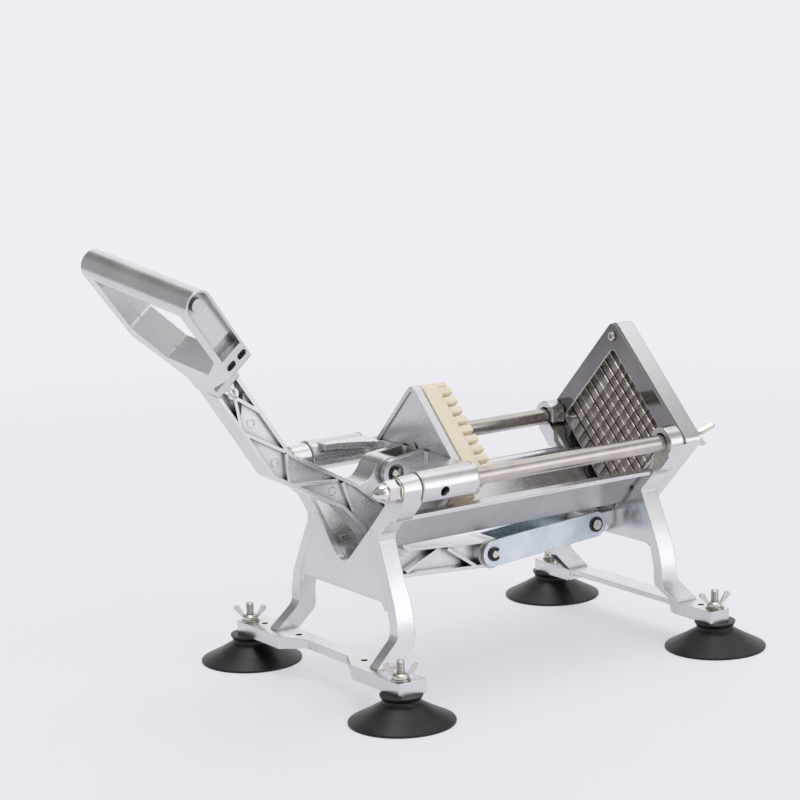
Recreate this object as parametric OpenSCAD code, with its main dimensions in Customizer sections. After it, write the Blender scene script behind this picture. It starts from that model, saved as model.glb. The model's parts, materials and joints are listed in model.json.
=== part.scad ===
// Bench-top french fry cutter with suction feet, a sliding pusher and a bell-crank lever.
// X runs from the handle to the blades, Y to the left, Z up; the bench is at z = 0.

/* [Feet] */
// Distance between the front and the rear suction cup axes
cup_spacing_x = 295; // [285:1:310]
// Distance between the left and the right suction cup axes
cup_spacing_y = 206; // [196:1:216]
// Diameter of a suction cup at its rim
cup_d = 78; // [70:1:84]
// Height from the bench to the underside of the foot bars
cup_h = 21; // [19:0.5:24]
// Diameter of the collar on top of a suction cup
collar_d = 31.5; // [28:0.5:36]
// Height of the hollow under a suction cup
cup_hollow_h = 6; // [3:0.5:8]
// Diameter of the studs that hold the suction cups
stud_d = 6; // [5:0.5:7]
// Height of a stud above the foot bar
stud_rise = 15; // [13:0.5:18]
// Diameter of a foot washer
foot_washer_d = 14; // [12:0.5:16]
// Thickness of a foot washer
foot_washer_t = 1.2; // [0.8:0.1:2]
// Span of a wing nut across its wings
wing_span = 29; // [24:1:34]

/* [Foot bars] */
// Width of the front foot bar along the machine
front_bar_w = 24; // [22:0.5:27]
// Width of the rear foot bar along the machine
rear_bar_w = 19; // [18:0.5:21]
// Thickness of a foot bar at its ends
bar_t = 10; // [8:0.5:12]
// Thickness of the front foot bar in its middle
front_mid_t = 6.5; // [5:0.5:7.5]
// Thickness of the rear foot bar in its middle
rear_mid_t = 4; // [3:0.5:6]
// Distance from a stud axis to the outer long face of its foot bar
stud_inset_x = 7.5; // [6.5:0.25:9]
// Distance from a stud axis to the end face of its foot bar
stud_inset_y = 9; // [8:0.5:11]
// Distance from the front cup axes back to the bench bolt holes
bench_hole_x = 7.6; // [6:0.1:9]
// Half the distance between the bench bolt holes
bench_hole_y = 44.7; // [42:0.1:47]
// Diameter of the bench bolt holes
bench_hole_d = 5.2; // [4.6:0.1:6]

/* [Castings] */
// Height of the guide rod axes above the bench
rod_z = 160.5; // [158:0.5:164]
// Distance from the front cup axes to the front face of the front casting
front_face_x = 22; // [19:0.5:25]
// Distance from the rear cup axes back to the front faces of the rear bosses
rear_face_back = 26.5; // [25:0.5:29]
// Thickness of the upright plates
web_t = 4; // [3:0.5:5]
// Depth of the rims and legs along the machine
rim_depth = 15; // [13:0.5:16]
// Thickness of the legs across the machine
leg_t = 10; // [8:0.5:11]
// Thickness of the rim around the blade plate
rim_t = 8; // [6:0.5:9]
// Height of the arch under the front plate
front_arch_z = 74.5; // [72:0.5:78]
// Height of the arch under the rear plate
rear_arch_z = 77; // [74:0.5:78]
// Depth of the sharp corner of the front opening below the rod axes
front_vee_drop = 70.5; // [68:0.5:72]
// Diameter of the rod bosses at their backs
boss_d = 21.6; // [20.5:0.1:23]
// Diameter of the front rod bosses at the washers
boss_front_d = 19; // [18:0.5:20.5]
// Length of the rear rod bosses
rear_boss_l = 12.2; // [11:0.1:13]

/* [Guide rods] */
// Distance between the guide rod axes
rod_spacing = 146; // [144:0.5:148]
// Diameter of the guide rods
rod_d = 13; // [12:0.25:14]
// Diameter of the threaded front ends of the guide rods
rod_stub_d = 9; // [8:0.25:10]
// Diameter of the rod washers
rod_washer_d = 18; // [16:0.5:20]
// Thickness of the rod washers
rod_washer_t = 1.5; // [1:0.1:2]
// Width of an acorn nut across its flats
acorn_af = 15; // [13:0.5:16]
// Length of the hexagon of an acorn nut
acorn_hex_l = 9.4; // [8:0.1:10]
// Length of the dome of an acorn nut
acorn_dome_l = 9.4; // [8:0.1:11]

/* [Trough] */
// Depth of the sharp inner corner of the trough below the rod axes
trough_drop = 73.5; // [72:0.5:76]
// Thickness of the trough walls
trough_t = 3; // [2:0.25:4]
// Half the width of the slot along the trough
trough_slot = 21.75; // [20.5:0.25:23]
// Depth of the trough's top edge below the rod axes
trough_top_drop = 24; // [22:0.5:26]
// Width of the flanges along the trough's top edges
trough_flange_w = 11; // [8:0.5:12]
// Length of the closed front end of the trough
trough_bridge_l = 6; // [4:0.5:8]

/* [Blades] */
// Pitch of the blades, which sets the width of a fry
blade_pitch = 9; // [8.5:0.25:9.25]
// Number of blades in each layer
blade_count = 9; // [7:2:9]
// Thickness of a blade
blade_t = 0.6; // [0.4:0.1:1]
// Depth of a blade along the machine
blade_depth = 5; // [4:0.25:5.25]
// Extra width of the blade opening beyond the cells
opening_margin = 1; // [0.5:0.25:2]
// Thickness of the blade plate
plate_t = 3; // [2:0.25:3.5]
// Thickness of the square rim that carries the blades
ring_t = 3; // [2.5:0.25:3.25]
// Half the diagonal of the blade plate between its sharp corners
plate_half = 85.5; // [85:0.25:87]
// Thickness of the blade holder behind the plate
holder_t = 15; // [14:0.5:18]

/* [Pusher] */
// Travel of the pusher
stroke = 170; // [160:1:172]
// Length of a slide sleeve
sleeve_l = 49.7; // [48:0.1:52]
// Outer diameter of a slide sleeve
sleeve_d = 23.8; // [22:0.1:24.5]
// Half the diagonal of the pusher plate between its sharp corners
pusher_half = 60; // [58:0.25:61]
// Thickness of the pusher plate
pusher_t = 7; // [5:0.5:8]
// Depth of the body of the pin block
block_t = 16; // [13:0.5:17]
// Width of a pusher pin
pin_w = 6.4; // [5.6:0.1:6.6]
// Length of the pusher pins
pin_l = 8.5; // [6:0.5:9]

/* [Lever and link] */
// Distance from the front face of the front casting back to the clevis pin
clevis_x = 37.5; // [36:0.5:39]
// Depth of the clevis pin below the rod axes
clevis_drop = 2; // [1:0.25:3]
// Width of the lever and of the grip
lever_w = 22; // [20:0.5:22]
// Diameter of the pivot pins
pivot_d = 8; // [7:0.25:9]
// Thickness of a clevis arm
clevis_t = 6; // [5:0.25:6.5]
// Depth of the pins' counterbores in the clevis arms
clevis_bore_t = 2.5; // [2:0.25:3]
// Distance from the clevis pin to the low pivot along the machine
low_dx = 90; // [88:0.5:92]
// Depth of the low pivot below the clevis pin
low_dz = 77; // [76:0.5:79]
// Distance from the anchor pivot back to the face of the rear frame
anchor_inset = 19; // [19:0.5:21]
// Height of the anchor pivot above the low pivot
link_dz = 7.3; // [6.5:0.1:8]
// Thickness of the link's side plates
link_t = 2.5; // [2:0.1:3]
// Height of the link's side plates
link_h = 20; // [18:0.5:21]
// Thickness of the washers beside the low pivot
low_washer_t = 1; // [0.6:0.1:1.2]

/* [Grip] */
// Angle of the grip above the horizontal, measured from the blade side
grip_tilt = 130; // [125:1:135]
// Sideways lean of the grip about its mounting
grip_lean = 12; // [0:1:14]
// Distance from the grip's mounting to the axis of its bar
grip_reach = 106; // [100:1:112]
// Length of the grip's bar
grip_l = 120; // [110:1:130]
// Diameter of the grip's bar
grip_d = 22; // [20:0.5:24]
// Height of the straight sides of the grip
grip_side_h = 65; // [60:1:70]
// Width of the grip's stem at its lower end
stem_w = 28; // [26:0.5:32]

/* [Clearances] */
// Radial clearance of the pins and rods that turn or slide
run_gap = 0.05; // [0.02:0.01:0.1]
// Gap between flat faces that move past each other
side_gap = 0.3; // [0.2:0.05:0.4]
// Radial clearance of screws and studs in their holes
bolt_gap = 0.3; // [0.2:0.05:0.5]

/* [Hidden] */
$fn = 64;
over = 1;
arc_steps = 5;
root2 = sqrt(2);

// Colours
cast_col = [0.78, 0.78, 0.80];
steel_col = [0.72, 0.69, 0.66];
dark_col = [0.40, 0.40, 0.43];
zinc_col = [0.80, 0.80, 0.74];
blue_zinc_col = [0.66, 0.76, 0.84];
ivory_col = [0.93, 0.88, 0.72];
black_col = [0.10, 0.10, 0.11];

// Radii of the small and the large round edges
fine_r = 0.3;
edge_r = 2;
soft_r = 4;
blend_r = 10;

// Heights and places that follow the feet
bar_top = cup_h + bar_t;
foot_y = cup_spacing_y / 2;
bar_half = foot_y + stud_inset_y;
front_bar_x0 = -stud_inset_x;
front_bar_x1 = front_bar_w - stud_inset_x;
rear_bar_x1 = cup_spacing_x + stud_inset_x;
rear_bar_x0 = rear_bar_x1 - rear_bar_w;
front_mid_x0 = front_bar_x0 + front_bar_w * 0.48;
rear_mid_x0 = rear_bar_x0 + over;
front_step = [0.27 * foot_y, 0.495 * foot_y];
rear_step = [0.59 * foot_y, 0.65 * foot_y];
second_hole_y = foot_y - foot_washer_d;
second_hole_d = 5;

// Frames
rod_y = rod_spacing / 2;
boss_r = boss_d / 2;
boss_front_r = boss_front_d / 2;
rear_face_x = cup_spacing_x - rear_face_back;
rear_web_x = rear_face_x + web_t * 0.6;
front_rim_x1 = front_face_x + rim_depth;
rear_rim_x1 = rear_face_x + rim_depth;
front_boss_x1 = front_rim_x1;
leg_swell = 2.5;
arch_half = 0.755 * rod_y;
arch_r = 6;
front_vee_r = 14;

// Blade holder
plate_gap = side_gap;
plate_x = rear_face_x + rear_boss_l + plate_gap;
plate_back = plate_x + plate_t;
opening = blade_pitch * (blade_count + 1) + opening_margin;
opening_half = opening / root2;
ring_half = (opening + 2 * ring_t) / root2;
holder_half = plate_half + over / 2;
rim_wall = 3;
rim_half = plate_half + rim_wall;
corner_r = 6;
opening_r = 5;
ring_l = 2 * blade_depth + 4 * plate_gap;
holder_x1 = plate_back + holder_t;
rear_vee_half = trough_drop;
blade_l = opening + 2 * ring_t;
blade_x = plate_back + plate_gap;
slit_l = 22;
slit_t = 2.2;
slit_share = [0.86, 0.806];

// Guide rods
rod_r = rod_d / 2;
stub_r = rod_stub_d / 2;
rod_shoulder_x = front_face_x + rim_depth / 2;
rod_end_x = plate_x - side_gap;
washer_x = front_face_x - rod_washer_t;
acorn_x = washer_x - acorn_hex_l;
tap_l = 13;
tap_d = 6;
tap_r = tap_d / 2;

// Trough
trough_apex_z = rod_z - trough_drop;
trough_top_z = rod_z - trough_top_drop;
trough_x0 = front_face_x + web_t;
trough_x1 = rear_web_x;

// Pusher
sleeve_r = sleeve_d / 2;
sleeve_x0 = front_boss_x1 + side_gap;
sleeve_x1 = sleeve_x0 + sleeve_l;
pusher_x = sleeve_x1;
pusher_x1 = pusher_x + pusher_t;
block_half = (blade_pitch * blade_count + pin_w) / root2;
block_x1 = pusher_x1 + block_t;
pin_tip_x = block_x1 + pin_l;
bush_t = 1.5;
bush_l = 14;
bush_r = rod_r + run_gap + bush_t;
shelf_t = 5;
shelf_top = rod_z + sleeve_r - shelf_t / 4;

// Lever pivots in the upright plane of the machine
clevis = [front_face_x + clevis_x, rod_z - clevis_drop];
low = clevis + [low_dx, -low_dz];
anchor = [rear_face_x - anchor_inset, low.y + link_dz];
pivot_r = pivot_d / 2;
half_w = lever_w / 2;
clevis_in = half_w + side_gap;
clevis_out = clevis_in + clevis_t;
clip_t = 1;
clip_r = pivot_r + 2;
clevis_boss_r = half_w + over;
clevis_arm_r = half_w;

// Lever outline: each stop is [share of low_dx, share of low_dz] from the clevis pin
joint_share = [-1.544, 1.097];
bend_share = [-1.05, 0.24];
knee_share = [-0.411, -0.168];
elbow_share = [-0.094, -0.513];
heel_share = [0.028, -0.919];
joint = stop(joint_share);
bend = stop(bend_share);
knee = stop(knee_share);
elbow = stop(elbow_share);
heel = stop(heel_share);
arm_w = lever_w;
elbow_w = 27;
low_arm_w = 21.5;
low_boss_r = 12;
arm_rim = 2.6;
arm_web = 6;
rib_t = 2.6;
tongue_l = 24;
tongue_root = 10;
tongue_w = 13;
head_seat = tongue_w / 2 + over;
tongue_t = 12;
tongue_gap = 0.15;

// Link and anchor
link_in = half_w + low_washer_t + side_gap;
link_out = link_in + link_t;
lug_half = link_in - side_gap;
lug_r = 9.3;
lug_rise = 7.7;
pin_out = link_out + clip_t + over;
link_web_t = 2.5;

// Grip axes: up runs from the mounting to the bar, across runs along the bar
grip_up = [cos(grip_tilt) * cos(grip_lean), -sin(grip_lean), sin(grip_tilt) * cos(grip_lean)];
grip_across = [cos(grip_tilt) * sin(grip_lean), cos(grip_lean), sin(grip_tilt) * sin(grip_lean)];
grip_r = grip_d / 2;
grip_half = grip_l / 2;
grip_foot = [joint.x, 0, joint.y];
bar_mid = grip_foot + grip_reach * grip_up;

// The box of the whole machine along X, which centres it on the origin
far_grip_x = bar_mid.x + grip_half * grip_across.x - grip_r * sqrt(1 - pow(grip_across.x, 2));
wing_bolt_l = 19.5;
box_x1 = max(cup_spacing_x + cup_d / 2, holder_x1 + wing_bolt_l);
mid_x = (far_grip_x + box_x1) / 2;

function stop(share) = clevis + [share.x * low_dx, share.y * low_dz];
function unit(v) = v / norm(v);
function back(list) = [for (i = [len(list) - 1:-1:0]) list[i]];

// A corner [x, y, radius] between its neighbours, as points on a round arc
function corner(a, p, b) =
    let (u = unit([a.x - p.x, a.y - p.y]), v = unit([b.x - p.x, b.y - p.y]),
         half = acos(u * v) / 2, c = [p.x, p.y] + unit(u + v) * p.z / sin(half),
         s = [p.x, p.y] + u * p.z / tan(half) - c, e = [p.x, p.y] + v * p.z / tan(half) - c,
         a0 = atan2(s.y, s.x), turn = atan2(s.x * e.y - s.y * e.x, s * e))
    [for (k = [0:arc_steps]) c + p.z * [cos(a0 + turn * k / arc_steps), sin(a0 + turn * k / arc_steps)]];

// An outline with round corners: each point is [x, y, radius], and radius 0 stays sharp
function rounded(pts) = [
    for (i = [0:len(pts) - 1])
        each pts[i].z == 0 ? [[pts[i].x, pts[i].y]]
            : corner(pts[(i + len(pts) - 1) % len(pts)], pts[i], pts[(i + 1) % len(pts)])
];

// A square that stands on its corner at the height of the rods
module diamond(half, r) {
    translate([0, rod_z])
        polygon(rounded([[half, 0, r], [0, half, r], [-half, 0, r], [0, -half, r]]));
}

// Extrudes a (y, z) outline along X
module along_x(x0, x1) {
    translate([x0, 0, 0]) rotate([90, 0, 90]) linear_extrude(x1 - x0) children();
}

// Extrudes an (x, z) outline along Y
module along_y(y0, y1) {
    translate([0, y1, 0]) rotate([90, 0, 0]) linear_extrude(y1 - y0) children();
}

module rod_x(x0, x1, r, y = 0, z = 0) {
    translate([x0, y, z]) rotate([0, 90, 0]) cylinder(h = x1 - x0, r = r);
}

module pin_y(at, y0, y1, r) {
    translate([at.x, y0, at.y]) rotate([-90, 0, 0]) cylinder(h = y1 - y0, r = r);
}

module both_sides() {
    children();
    mirror([0, 1, 0]) children();
}

// A strip between two points with round ends, all of one width
module limb(a, b, w) {
    side = [a.y - b.y, b.x - a.x] / norm(b - a) * w / 2;
    polygon([a + side, b + side, b - side, a - side]);
    translate(a) circle(d = w);
    translate(b) circle(d = w);
}

module rib(a, b) {
    side = [a.y - b.y, b.x - a.x] / norm(b - a) * rib_t / 2;
    polygon([a + side, b + side, b - side, a - side]);
}

// Outer line of a casting's half: shares of rod_y and rod_z, from the boss to the foot
leg_shares = [
    [1.120, 1.016], [1.118, 0.931], [0.945, 0.851], [0.849, 0.847], [0.668, 0.769], [0.662, 0.732],
    [0.803, 0.599], [0.932, 0.467], [0.984, 0.374], [0.986, 0.280], [1.007, 0.187]
];

function leg_line(inset) = [for (s = leg_shares) [s.x * rod_y - inset, s.y * rod_z]];
function leg_band() =
    let (outer = leg_line(0), inner = back(leg_line(leg_t)), n = len(outer),
         foot_x = outer[n - 1].x + over / 2)
    rounded(concat(
        [for (i = [0:n - 1]) [outer[i].x, outer[i].y, i == 0 || i == n - 1 ? 0 : edge_r]],
        [[foot_x, cup_h, 0], [foot_x - leg_t, cup_h, 0]],
        [for (i = [0:n - 1]) [inner[i].x, inner[i].y, i == 0 || i == n - 1 ? 0 : edge_r]]));

// Open space of the V below the rods, with a round or a sharp corner
module vee_cut(drop, r) {
    polygon(rounded([[0, rod_z - drop, r], [2 * drop, rod_z + drop, 0], [-2 * drop, rod_z + drop, 0]]));
}

// Plate between the legs, with the arch below it
module web_outline(arch_z) {
    side = [for (p = leg_line(leg_t / 2)) if (p.y > arch_z) p];
    low_y = side[len(side) - 1].x;
    difference() {
        polygon(concat(side, [[low_y, arch_z - arch_r]], [[-low_y, arch_z - arch_r]],
            [for (p = back(side)) [-p.x, p.y]]));
        polygon(rounded([[arch_half, cup_h, 0], [arch_half, arch_z, arch_r],
            [-arch_half, arch_z, arch_r], [-arch_half, cup_h, 0]]));
    }
}

// Fills the casting between a rod boss and the leg below it
module boss_neck() {
    outer = leg_line(0);
    polygon([outer[0], outer[1], outer[2], outer[3], [outer[3].x, rod_z], [rod_y, rod_z + edge_r]]);
}

// Side view of the front legs: upright at the top, swept forward to the foot bar
module front_leg_side() {
    top_z = rod_z + boss_r;
    polygon(rounded([
        [front_face_x, top_z, 0], [front_face_x, 0.779 * rod_z, 0], [front_face_x - leg_swell, 0.467 * rod_z, 0],
        [front_face_x - leg_swell, 0.310 * rod_z, blend_r], [0, bar_top + over, 0], [0, cup_h + over, 0],
        [front_bar_x1, cup_h + over, 0], [front_bar_x1, bar_top - front_mid_t / 2, 0],
        [front_rim_x1 - leg_swell, 0.280 * rod_z, blend_r], [front_rim_x1 - leg_swell, 0.592 * rod_z, 0],
        [front_rim_x1, 0.779 * rod_z, 0], [front_rim_x1, top_z, 0]]));
}

// Side view of the rear legs, swept back to the foot bar
module rear_leg_side() {
    top_z = rod_z + boss_r;
    polygon(rounded([
        [rear_face_x, top_z, 0], [rear_face_x, 0.287 * rod_z, blend_r], [rear_bar_x0, bar_top, 0],
        [rear_bar_x0, cup_h + over, 0], [rear_bar_x1 - over, cup_h + over, 0], [rear_bar_x1 - over, bar_top + over, 0],
        [rear_rim_x1, 0.312 * rod_z, blend_r], [rear_rim_x1, top_z, 0]]));
}

// Foot bar from x0 to x1, thinner and set back to mid_x0 between its two steps
module foot_bar(x0, x1, mid_x0, mid_t, step) {
    mid_z = bar_top - mid_t;
    intersection() {
        along_x(x0, x1) polygon([
            [bar_half, cup_h], [bar_half, bar_top], [-bar_half, bar_top], [-bar_half, cup_h],
            [-step.y, cup_h], [-step.x, mid_z], [step.x, mid_z], [step.y, cup_h]]);
        translate([0, 0, cup_h - over]) linear_extrude(bar_t + 2 * over) polygon(rounded([
            [x1, -bar_half, edge_r], [x1, bar_half, edge_r], [x0, bar_half, edge_r], [x0, step.y, soft_r],
            [mid_x0, step.x, soft_r], [mid_x0, -step.x, soft_r], [x0, -step.y, soft_r], [x0, -bar_half, edge_r]]));
    }
}

module bar_hole(x, y, d) {
    translate([x, y, cup_h - over]) cylinder(h = bar_t + 2 * over, d = d);
}

module front_frame() color(cast_col) {
    difference() {
        union() {
            difference() {
                union() {
                    along_x(front_face_x, front_face_x + web_t) web_outline(front_arch_z);
                    both_sides() along_x(front_face_x, front_rim_x1) boss_neck();
                }
                along_x(front_face_x - over, front_rim_x1 + over) vee_cut(front_vee_drop, front_vee_r);
            }
            intersection() {
                both_sides() along_x(0, front_rim_x1 + over) polygon(leg_band());
                along_y(-bar_half, bar_half) front_leg_side();
            }
            both_sides() translate([front_face_x, rod_y, rod_z]) rotate([0, 90, 0])
                cylinder(h = rim_depth, r1 = boss_front_r, r2 = boss_r);
            foot_bar(front_bar_x0, front_bar_x1, front_mid_x0, front_mid_t, front_step);
        }
        both_sides() {
            rod_x(rod_shoulder_x, front_boss_x1 + over, rod_r + run_gap, rod_y, rod_z);
            rod_x(front_face_x - over, rod_shoulder_x + over, stub_r + run_gap, rod_y, rod_z);
            along_x(trough_x0, front_rim_x1 + over) trough_wall();
            bar_hole(0, foot_y, stud_d + 2 * bolt_gap);
            bar_hole(bench_hole_x, bench_hole_y, bench_hole_d);
            bar_hole((front_bar_x0 + front_bar_x1) / 2, second_hole_y, second_hole_d);
        }
    }
}

module rear_frame() color(cast_col) {
    rim_z0 = 0.69 * rod_z;
    difference() {
        union() {
            along_x(rear_web_x, rear_web_x + web_t) web_outline(rear_arch_z);
            both_sides() along_x(rear_face_x, plate_x - plate_gap) boss_neck();
            intersection() {
                both_sides() along_x(rear_face_x, rear_bar_x1) polygon(leg_band());
                along_y(-bar_half, bar_half) rear_leg_side();
            }
            both_sides() rod_x(rear_face_x, plate_x - plate_gap, boss_r, rod_y, rod_z);
            both_sides() intersection() {
                along_x(rear_face_x, plate_back + edge_r) difference() {
                    diamond(rim_half, corner_r);
                    diamond(rim_half - rim_t, corner_r);
                }
                translate([rear_face_x, 0.47 * rod_y, rim_z0])
                    cube([holder_x1 - rear_face_x, rod_y, rod_z - rim_z0 - over]);
            }
            along_x(plate_back, holder_x1) diamond(holder_half, corner_r);
            along_x(rear_web_x, plate_x - screw_head_t - plate_gap) polygon([
                [-link_in, anchor.y], [link_in, anchor.y],
                [link_in, rear_arch_z + over], [-link_in, rear_arch_z + over]]);
            foot_bar(rear_bar_x0, rear_bar_x1, rear_mid_x0, rear_mid_t, rear_step);
        }
        along_x(plate_x - plate_gap, plate_back) diamond(plate_half + plate_gap, corner_r);
        along_x(plate_back - over, holder_x1 + over) diamond(ring_half + plate_gap, opening_r);
        along_x(rear_face_x - over, plate_x) vee_cut(rear_vee_half, edge_r);
        both_sides() {
            along_x(rear_face_x - over, rear_web_x) trough_wall();
            rod_x(rear_face_x - over, plate_x, rod_r + run_gap, rod_y, rod_z);
            rod_x(plate_x, holder_x1 + over, tap_r + bolt_gap, rod_y, rod_z);
            translate([(rear_face_x + rear_rim_x1) / 2, rod_y * slit_share.x, rod_z * slit_share.y])
                rotate([45, 0, 0]) translate([-slit_t / 2, -slit_l / 2, -rim_t]) cube([slit_t, slit_l, rim_t + edge_r]);
            bar_hole(cup_spacing_x, foot_y, stud_d + 2 * bolt_gap);
            bar_hole((rear_bar_x0 + rear_bar_x1) / 2, second_hole_y, second_hole_d);
        }
    }
    lug();
}

// Lug that carries the anchor pivot, with a round end and a flat top
module lug() {
    difference() {
        intersection() {
            along_y(-lug_half, lug_half) union() {
                translate(anchor) circle(r = lug_r);
                polygon([anchor + [0, lug_r], [rear_web_x + over, anchor.y + lug_r],
                    [rear_web_x + over, anchor.y - lug_r - rim_t / 2], anchor + [0, -lug_r]]);
            }
            along_x(anchor.x - 2 * lug_r, rear_web_x + over) intersection() {
                union() {
                    translate([0, anchor.y + lug_r / 3]) circle(r = lug_half + over);
                    translate([-lug_half, anchor.y]) square([2 * lug_half, lug_r]);
                }
                translate([-link_in, 0]) square([2 * link_in, anchor.y + lug_rise]);
            }
        }
        pin_y(anchor, -lug_half - over, lug_half + over, pivot_r);
    }
}

// One wall of the trough with its flange, seen along the machine
module trough_wall() {
    t = trough_t * root2;
    inner_y = trough_top_z - trough_apex_z;
    polygon([
        [trough_slot, trough_apex_z + trough_slot], [inner_y, trough_top_z],
        [inner_y + trough_flange_w, trough_top_z], [inner_y + trough_flange_w, trough_top_z - trough_t],
        [inner_y + t - trough_t, trough_top_z - trough_t], [trough_slot, trough_apex_z + trough_slot - t]]);
}

module trough() color(cast_col) {
    t = trough_t * root2;
    apex = trough_apex_z;
    both_sides() along_x(trough_x0, trough_x1) trough_wall();
    along_x(trough_x0, trough_x0 + trough_bridge_l)
        polygon([[trough_slot, apex + trough_slot], [0, apex], [-trough_slot, apex + trough_slot],
            [-trough_slot, apex + trough_slot - t], [0, apex - t], [trough_slot, apex + trough_slot - t]]);
}

module guide_rod(side) color(steel_col) {
    y = side * rod_y;
    difference() {
        union() {
            rod_x(rod_shoulder_x, rod_end_x, rod_r, y, rod_z);
            rod_x(acorn_x - over, rod_shoulder_x + over, stub_r, y, rod_z);
        }
        rod_x(rod_end_x - tap_l, rod_end_x + over, tap_r, y, rod_z);
    }
}

module acorn_nut() {
    dome_r = acorn_af / 2 - over / 2;
    difference() {
        union() {
            rotate([0, 90, 0]) cylinder(h = acorn_hex_l, d = acorn_af / cos(30), $fn = 6);
            rotate([0, -90, 0]) rotate_extrude() polygon(concat([[0, -over]],
                [for (k = [0:2 * arc_steps]) let (a = 90 * k / arc_steps / 2)
                    [dome_r * cos(a), acorn_dome_l * sin(a)]], [[0, acorn_dome_l]], [[dome_r, -over]]));
        }
        rod_x(-2 * over, acorn_hex_l + over, stub_r);
    }
}

module rod_acorn_nuts() color(zinc_col) both_sides()
    translate([acorn_x, rod_y, rod_z]) acorn_nut();

module rod_washers() color(zinc_col) both_sides() difference() {
    rod_x(washer_x, front_face_x, rod_washer_d / 2, rod_y, rod_z);
    rod_x(washer_x - over, front_face_x + over, stub_r + run_gap, rod_y, rod_z);
}

// Turns an outline about the X axis at the height of the rods
module turned(angle) {
    translate([0, 0, rod_z]) rotate([angle, 0, 0]) translate([0, 0, -rod_z]) children();
}

module blade_bars(x, gap) {
    for (k = [0:blade_count - 1])
        translate([x - gap, -(blade_t / 2 + gap) + (k - (blade_count - 1) / 2) * blade_pitch, rod_z - blade_l / 2])
            cube([blade_depth + 2 * gap, blade_t + 2 * gap, blade_l]);
}

module blade_plate() color(dark_col) {
    blade_gap = run_gap;
    difference() {
        union() {
            along_x(plate_x, plate_back) diamond(plate_half, corner_r);
            along_x(plate_x, plate_back + ring_l) diamond(ring_half, opening_r);
        }
        along_x(plate_x - over, plate_back + ring_l + over) diamond(opening_half, opening_r);
        turned(-45) blade_bars(blade_x, blade_gap);
        turned(45) blade_bars(blade_x + blade_depth + plate_gap, blade_gap);
        both_sides() rod_x(plate_x - over, plate_back + ring_l + over, tap_r + bolt_gap, rod_y, rod_z);
        for (s = [-1, 1]) rod_x(plate_x - over, plate_back + over, screw_r + bolt_gap, 0, rod_z + s * rod_y);
    }
}

module blades_rising() color(steel_col) turned(45)
    blade_bars(blade_x + blade_depth + plate_gap, 0);

module blades_falling() color(steel_col) turned(-45) blade_bars(blade_x, 0);

screw_r = 2;
screw_head_r = 4;
screw_head_t = 2.2;
screw_l = 10;
socket_r = 1.8;

// Pan head screw along X with its head toward -X
module pan_screw(l) {
    difference() {
        union() {
            rod_x(0, l, screw_r);
            rotate([0, -90, 0]) rotate_extrude() polygon(rounded([[0, 0, 0], [screw_head_r, 0, 0],
                [screw_head_r, screw_head_t, screw_head_t * 0.7], [0, screw_head_t, 0]]));
        }
        translate([-screw_head_t - over, 0, 0]) rotate([0, 90, 0])
            cylinder(h = screw_head_t / 2 + over, r = socket_r, $fn = 6);
    }
}

module blade_screws() color(zinc_col) for (s = [-1, 1])
    translate([plate_x, 0, rod_z + s * rod_y]) pan_screw(plate_t);

// Wing bolt along X, with its shank toward -X and its wings behind the holder
module wing_bolt(shank) {
    hub_l = tap_d;
    rod_x(-shank, hub_l, tap_r);
    rod_x(0, hub_l, tap_d);
    for (a = [0, 180]) rotate([a, 0, 0]) along_y(-over, over) polygon(rounded([
        [over, over / 2, 0], [hub_l / 2, tap_d * 0.9, edge_r], [wing_bolt_l - hub_l / 2, wing_span / 2.4, wing_r],
        [wing_bolt_l, wing_span / 3.2, wing_r], [hub_l * 1.4, tap_r / 2, over], [hub_l - over, over / 2, 0]]));
}

module blade_wing_bolts() color(zinc_col) both_sides()
    translate([holder_x1, rod_y, rod_z]) rotate([-35, 0, 0])
        wing_bolt(holder_x1 - rod_end_x + tap_l - over);

wing_r = 2;
head_r = 9;
head_t = 2;
head_z = cup_h * 0.52;
cup_rim_t = 1.6;
cup_lip = 2;
collar_lip = 1.5;
collar_h = 3.4;

module suction_cup(x, y) color(black_col) {
    cup_r = cup_d / 2;
    neck_r = collar_d / 2 - collar_lip;
    translate([x, y, 0]) rotate_extrude() difference() {
        polygon(rounded([[0, 0, 0], [cup_r, 0, fine_r], [cup_r, cup_rim_t, 2 * fine_r],
            [cup_r * 0.66, cup_h * 0.40, blend_r], [neck_r, cup_h * 0.72, edge_r], [neck_r, cup_h - collar_h, over],
            [collar_d / 2, cup_h - over, fine_r], [collar_d / 2, cup_h, 0], [0, cup_h, 0]]));
        polygon([[-over, -over], [cup_r - cup_lip, -over], [cup_r - cup_lip, 0], [cup_r * 0.6, cup_hollow_h * 0.6],
            [cup_r * 0.25, cup_hollow_h], [-over, cup_hollow_h]]);
        translate([-over, head_z]) square([head_r + over, head_t]);
        translate([-over, head_z]) square([stud_d / 2 + over, cup_h]);
    }
}

module each_foot() {
    for (x = [0, cup_spacing_x]) for (s = [-1, 1]) translate([x, s * foot_y, 0]) children();
}

module cup_studs() color(zinc_col) each_foot() {
    translate([0, 0, head_z]) cylinder(h = bar_top + stud_rise - head_z, r = stud_d / 2);
    translate([0, 0, head_z]) cylinder(h = head_t, r = head_r);
}

module foot_washers() color(zinc_col) each_foot() difference() {
    translate([0, 0, bar_top]) cylinder(h = foot_washer_t, d = foot_washer_d);
    translate([0, 0, bar_top - over]) cylinder(h = foot_washer_t + 2 * over, d = stud_d + 2 * run_gap);
}

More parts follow.
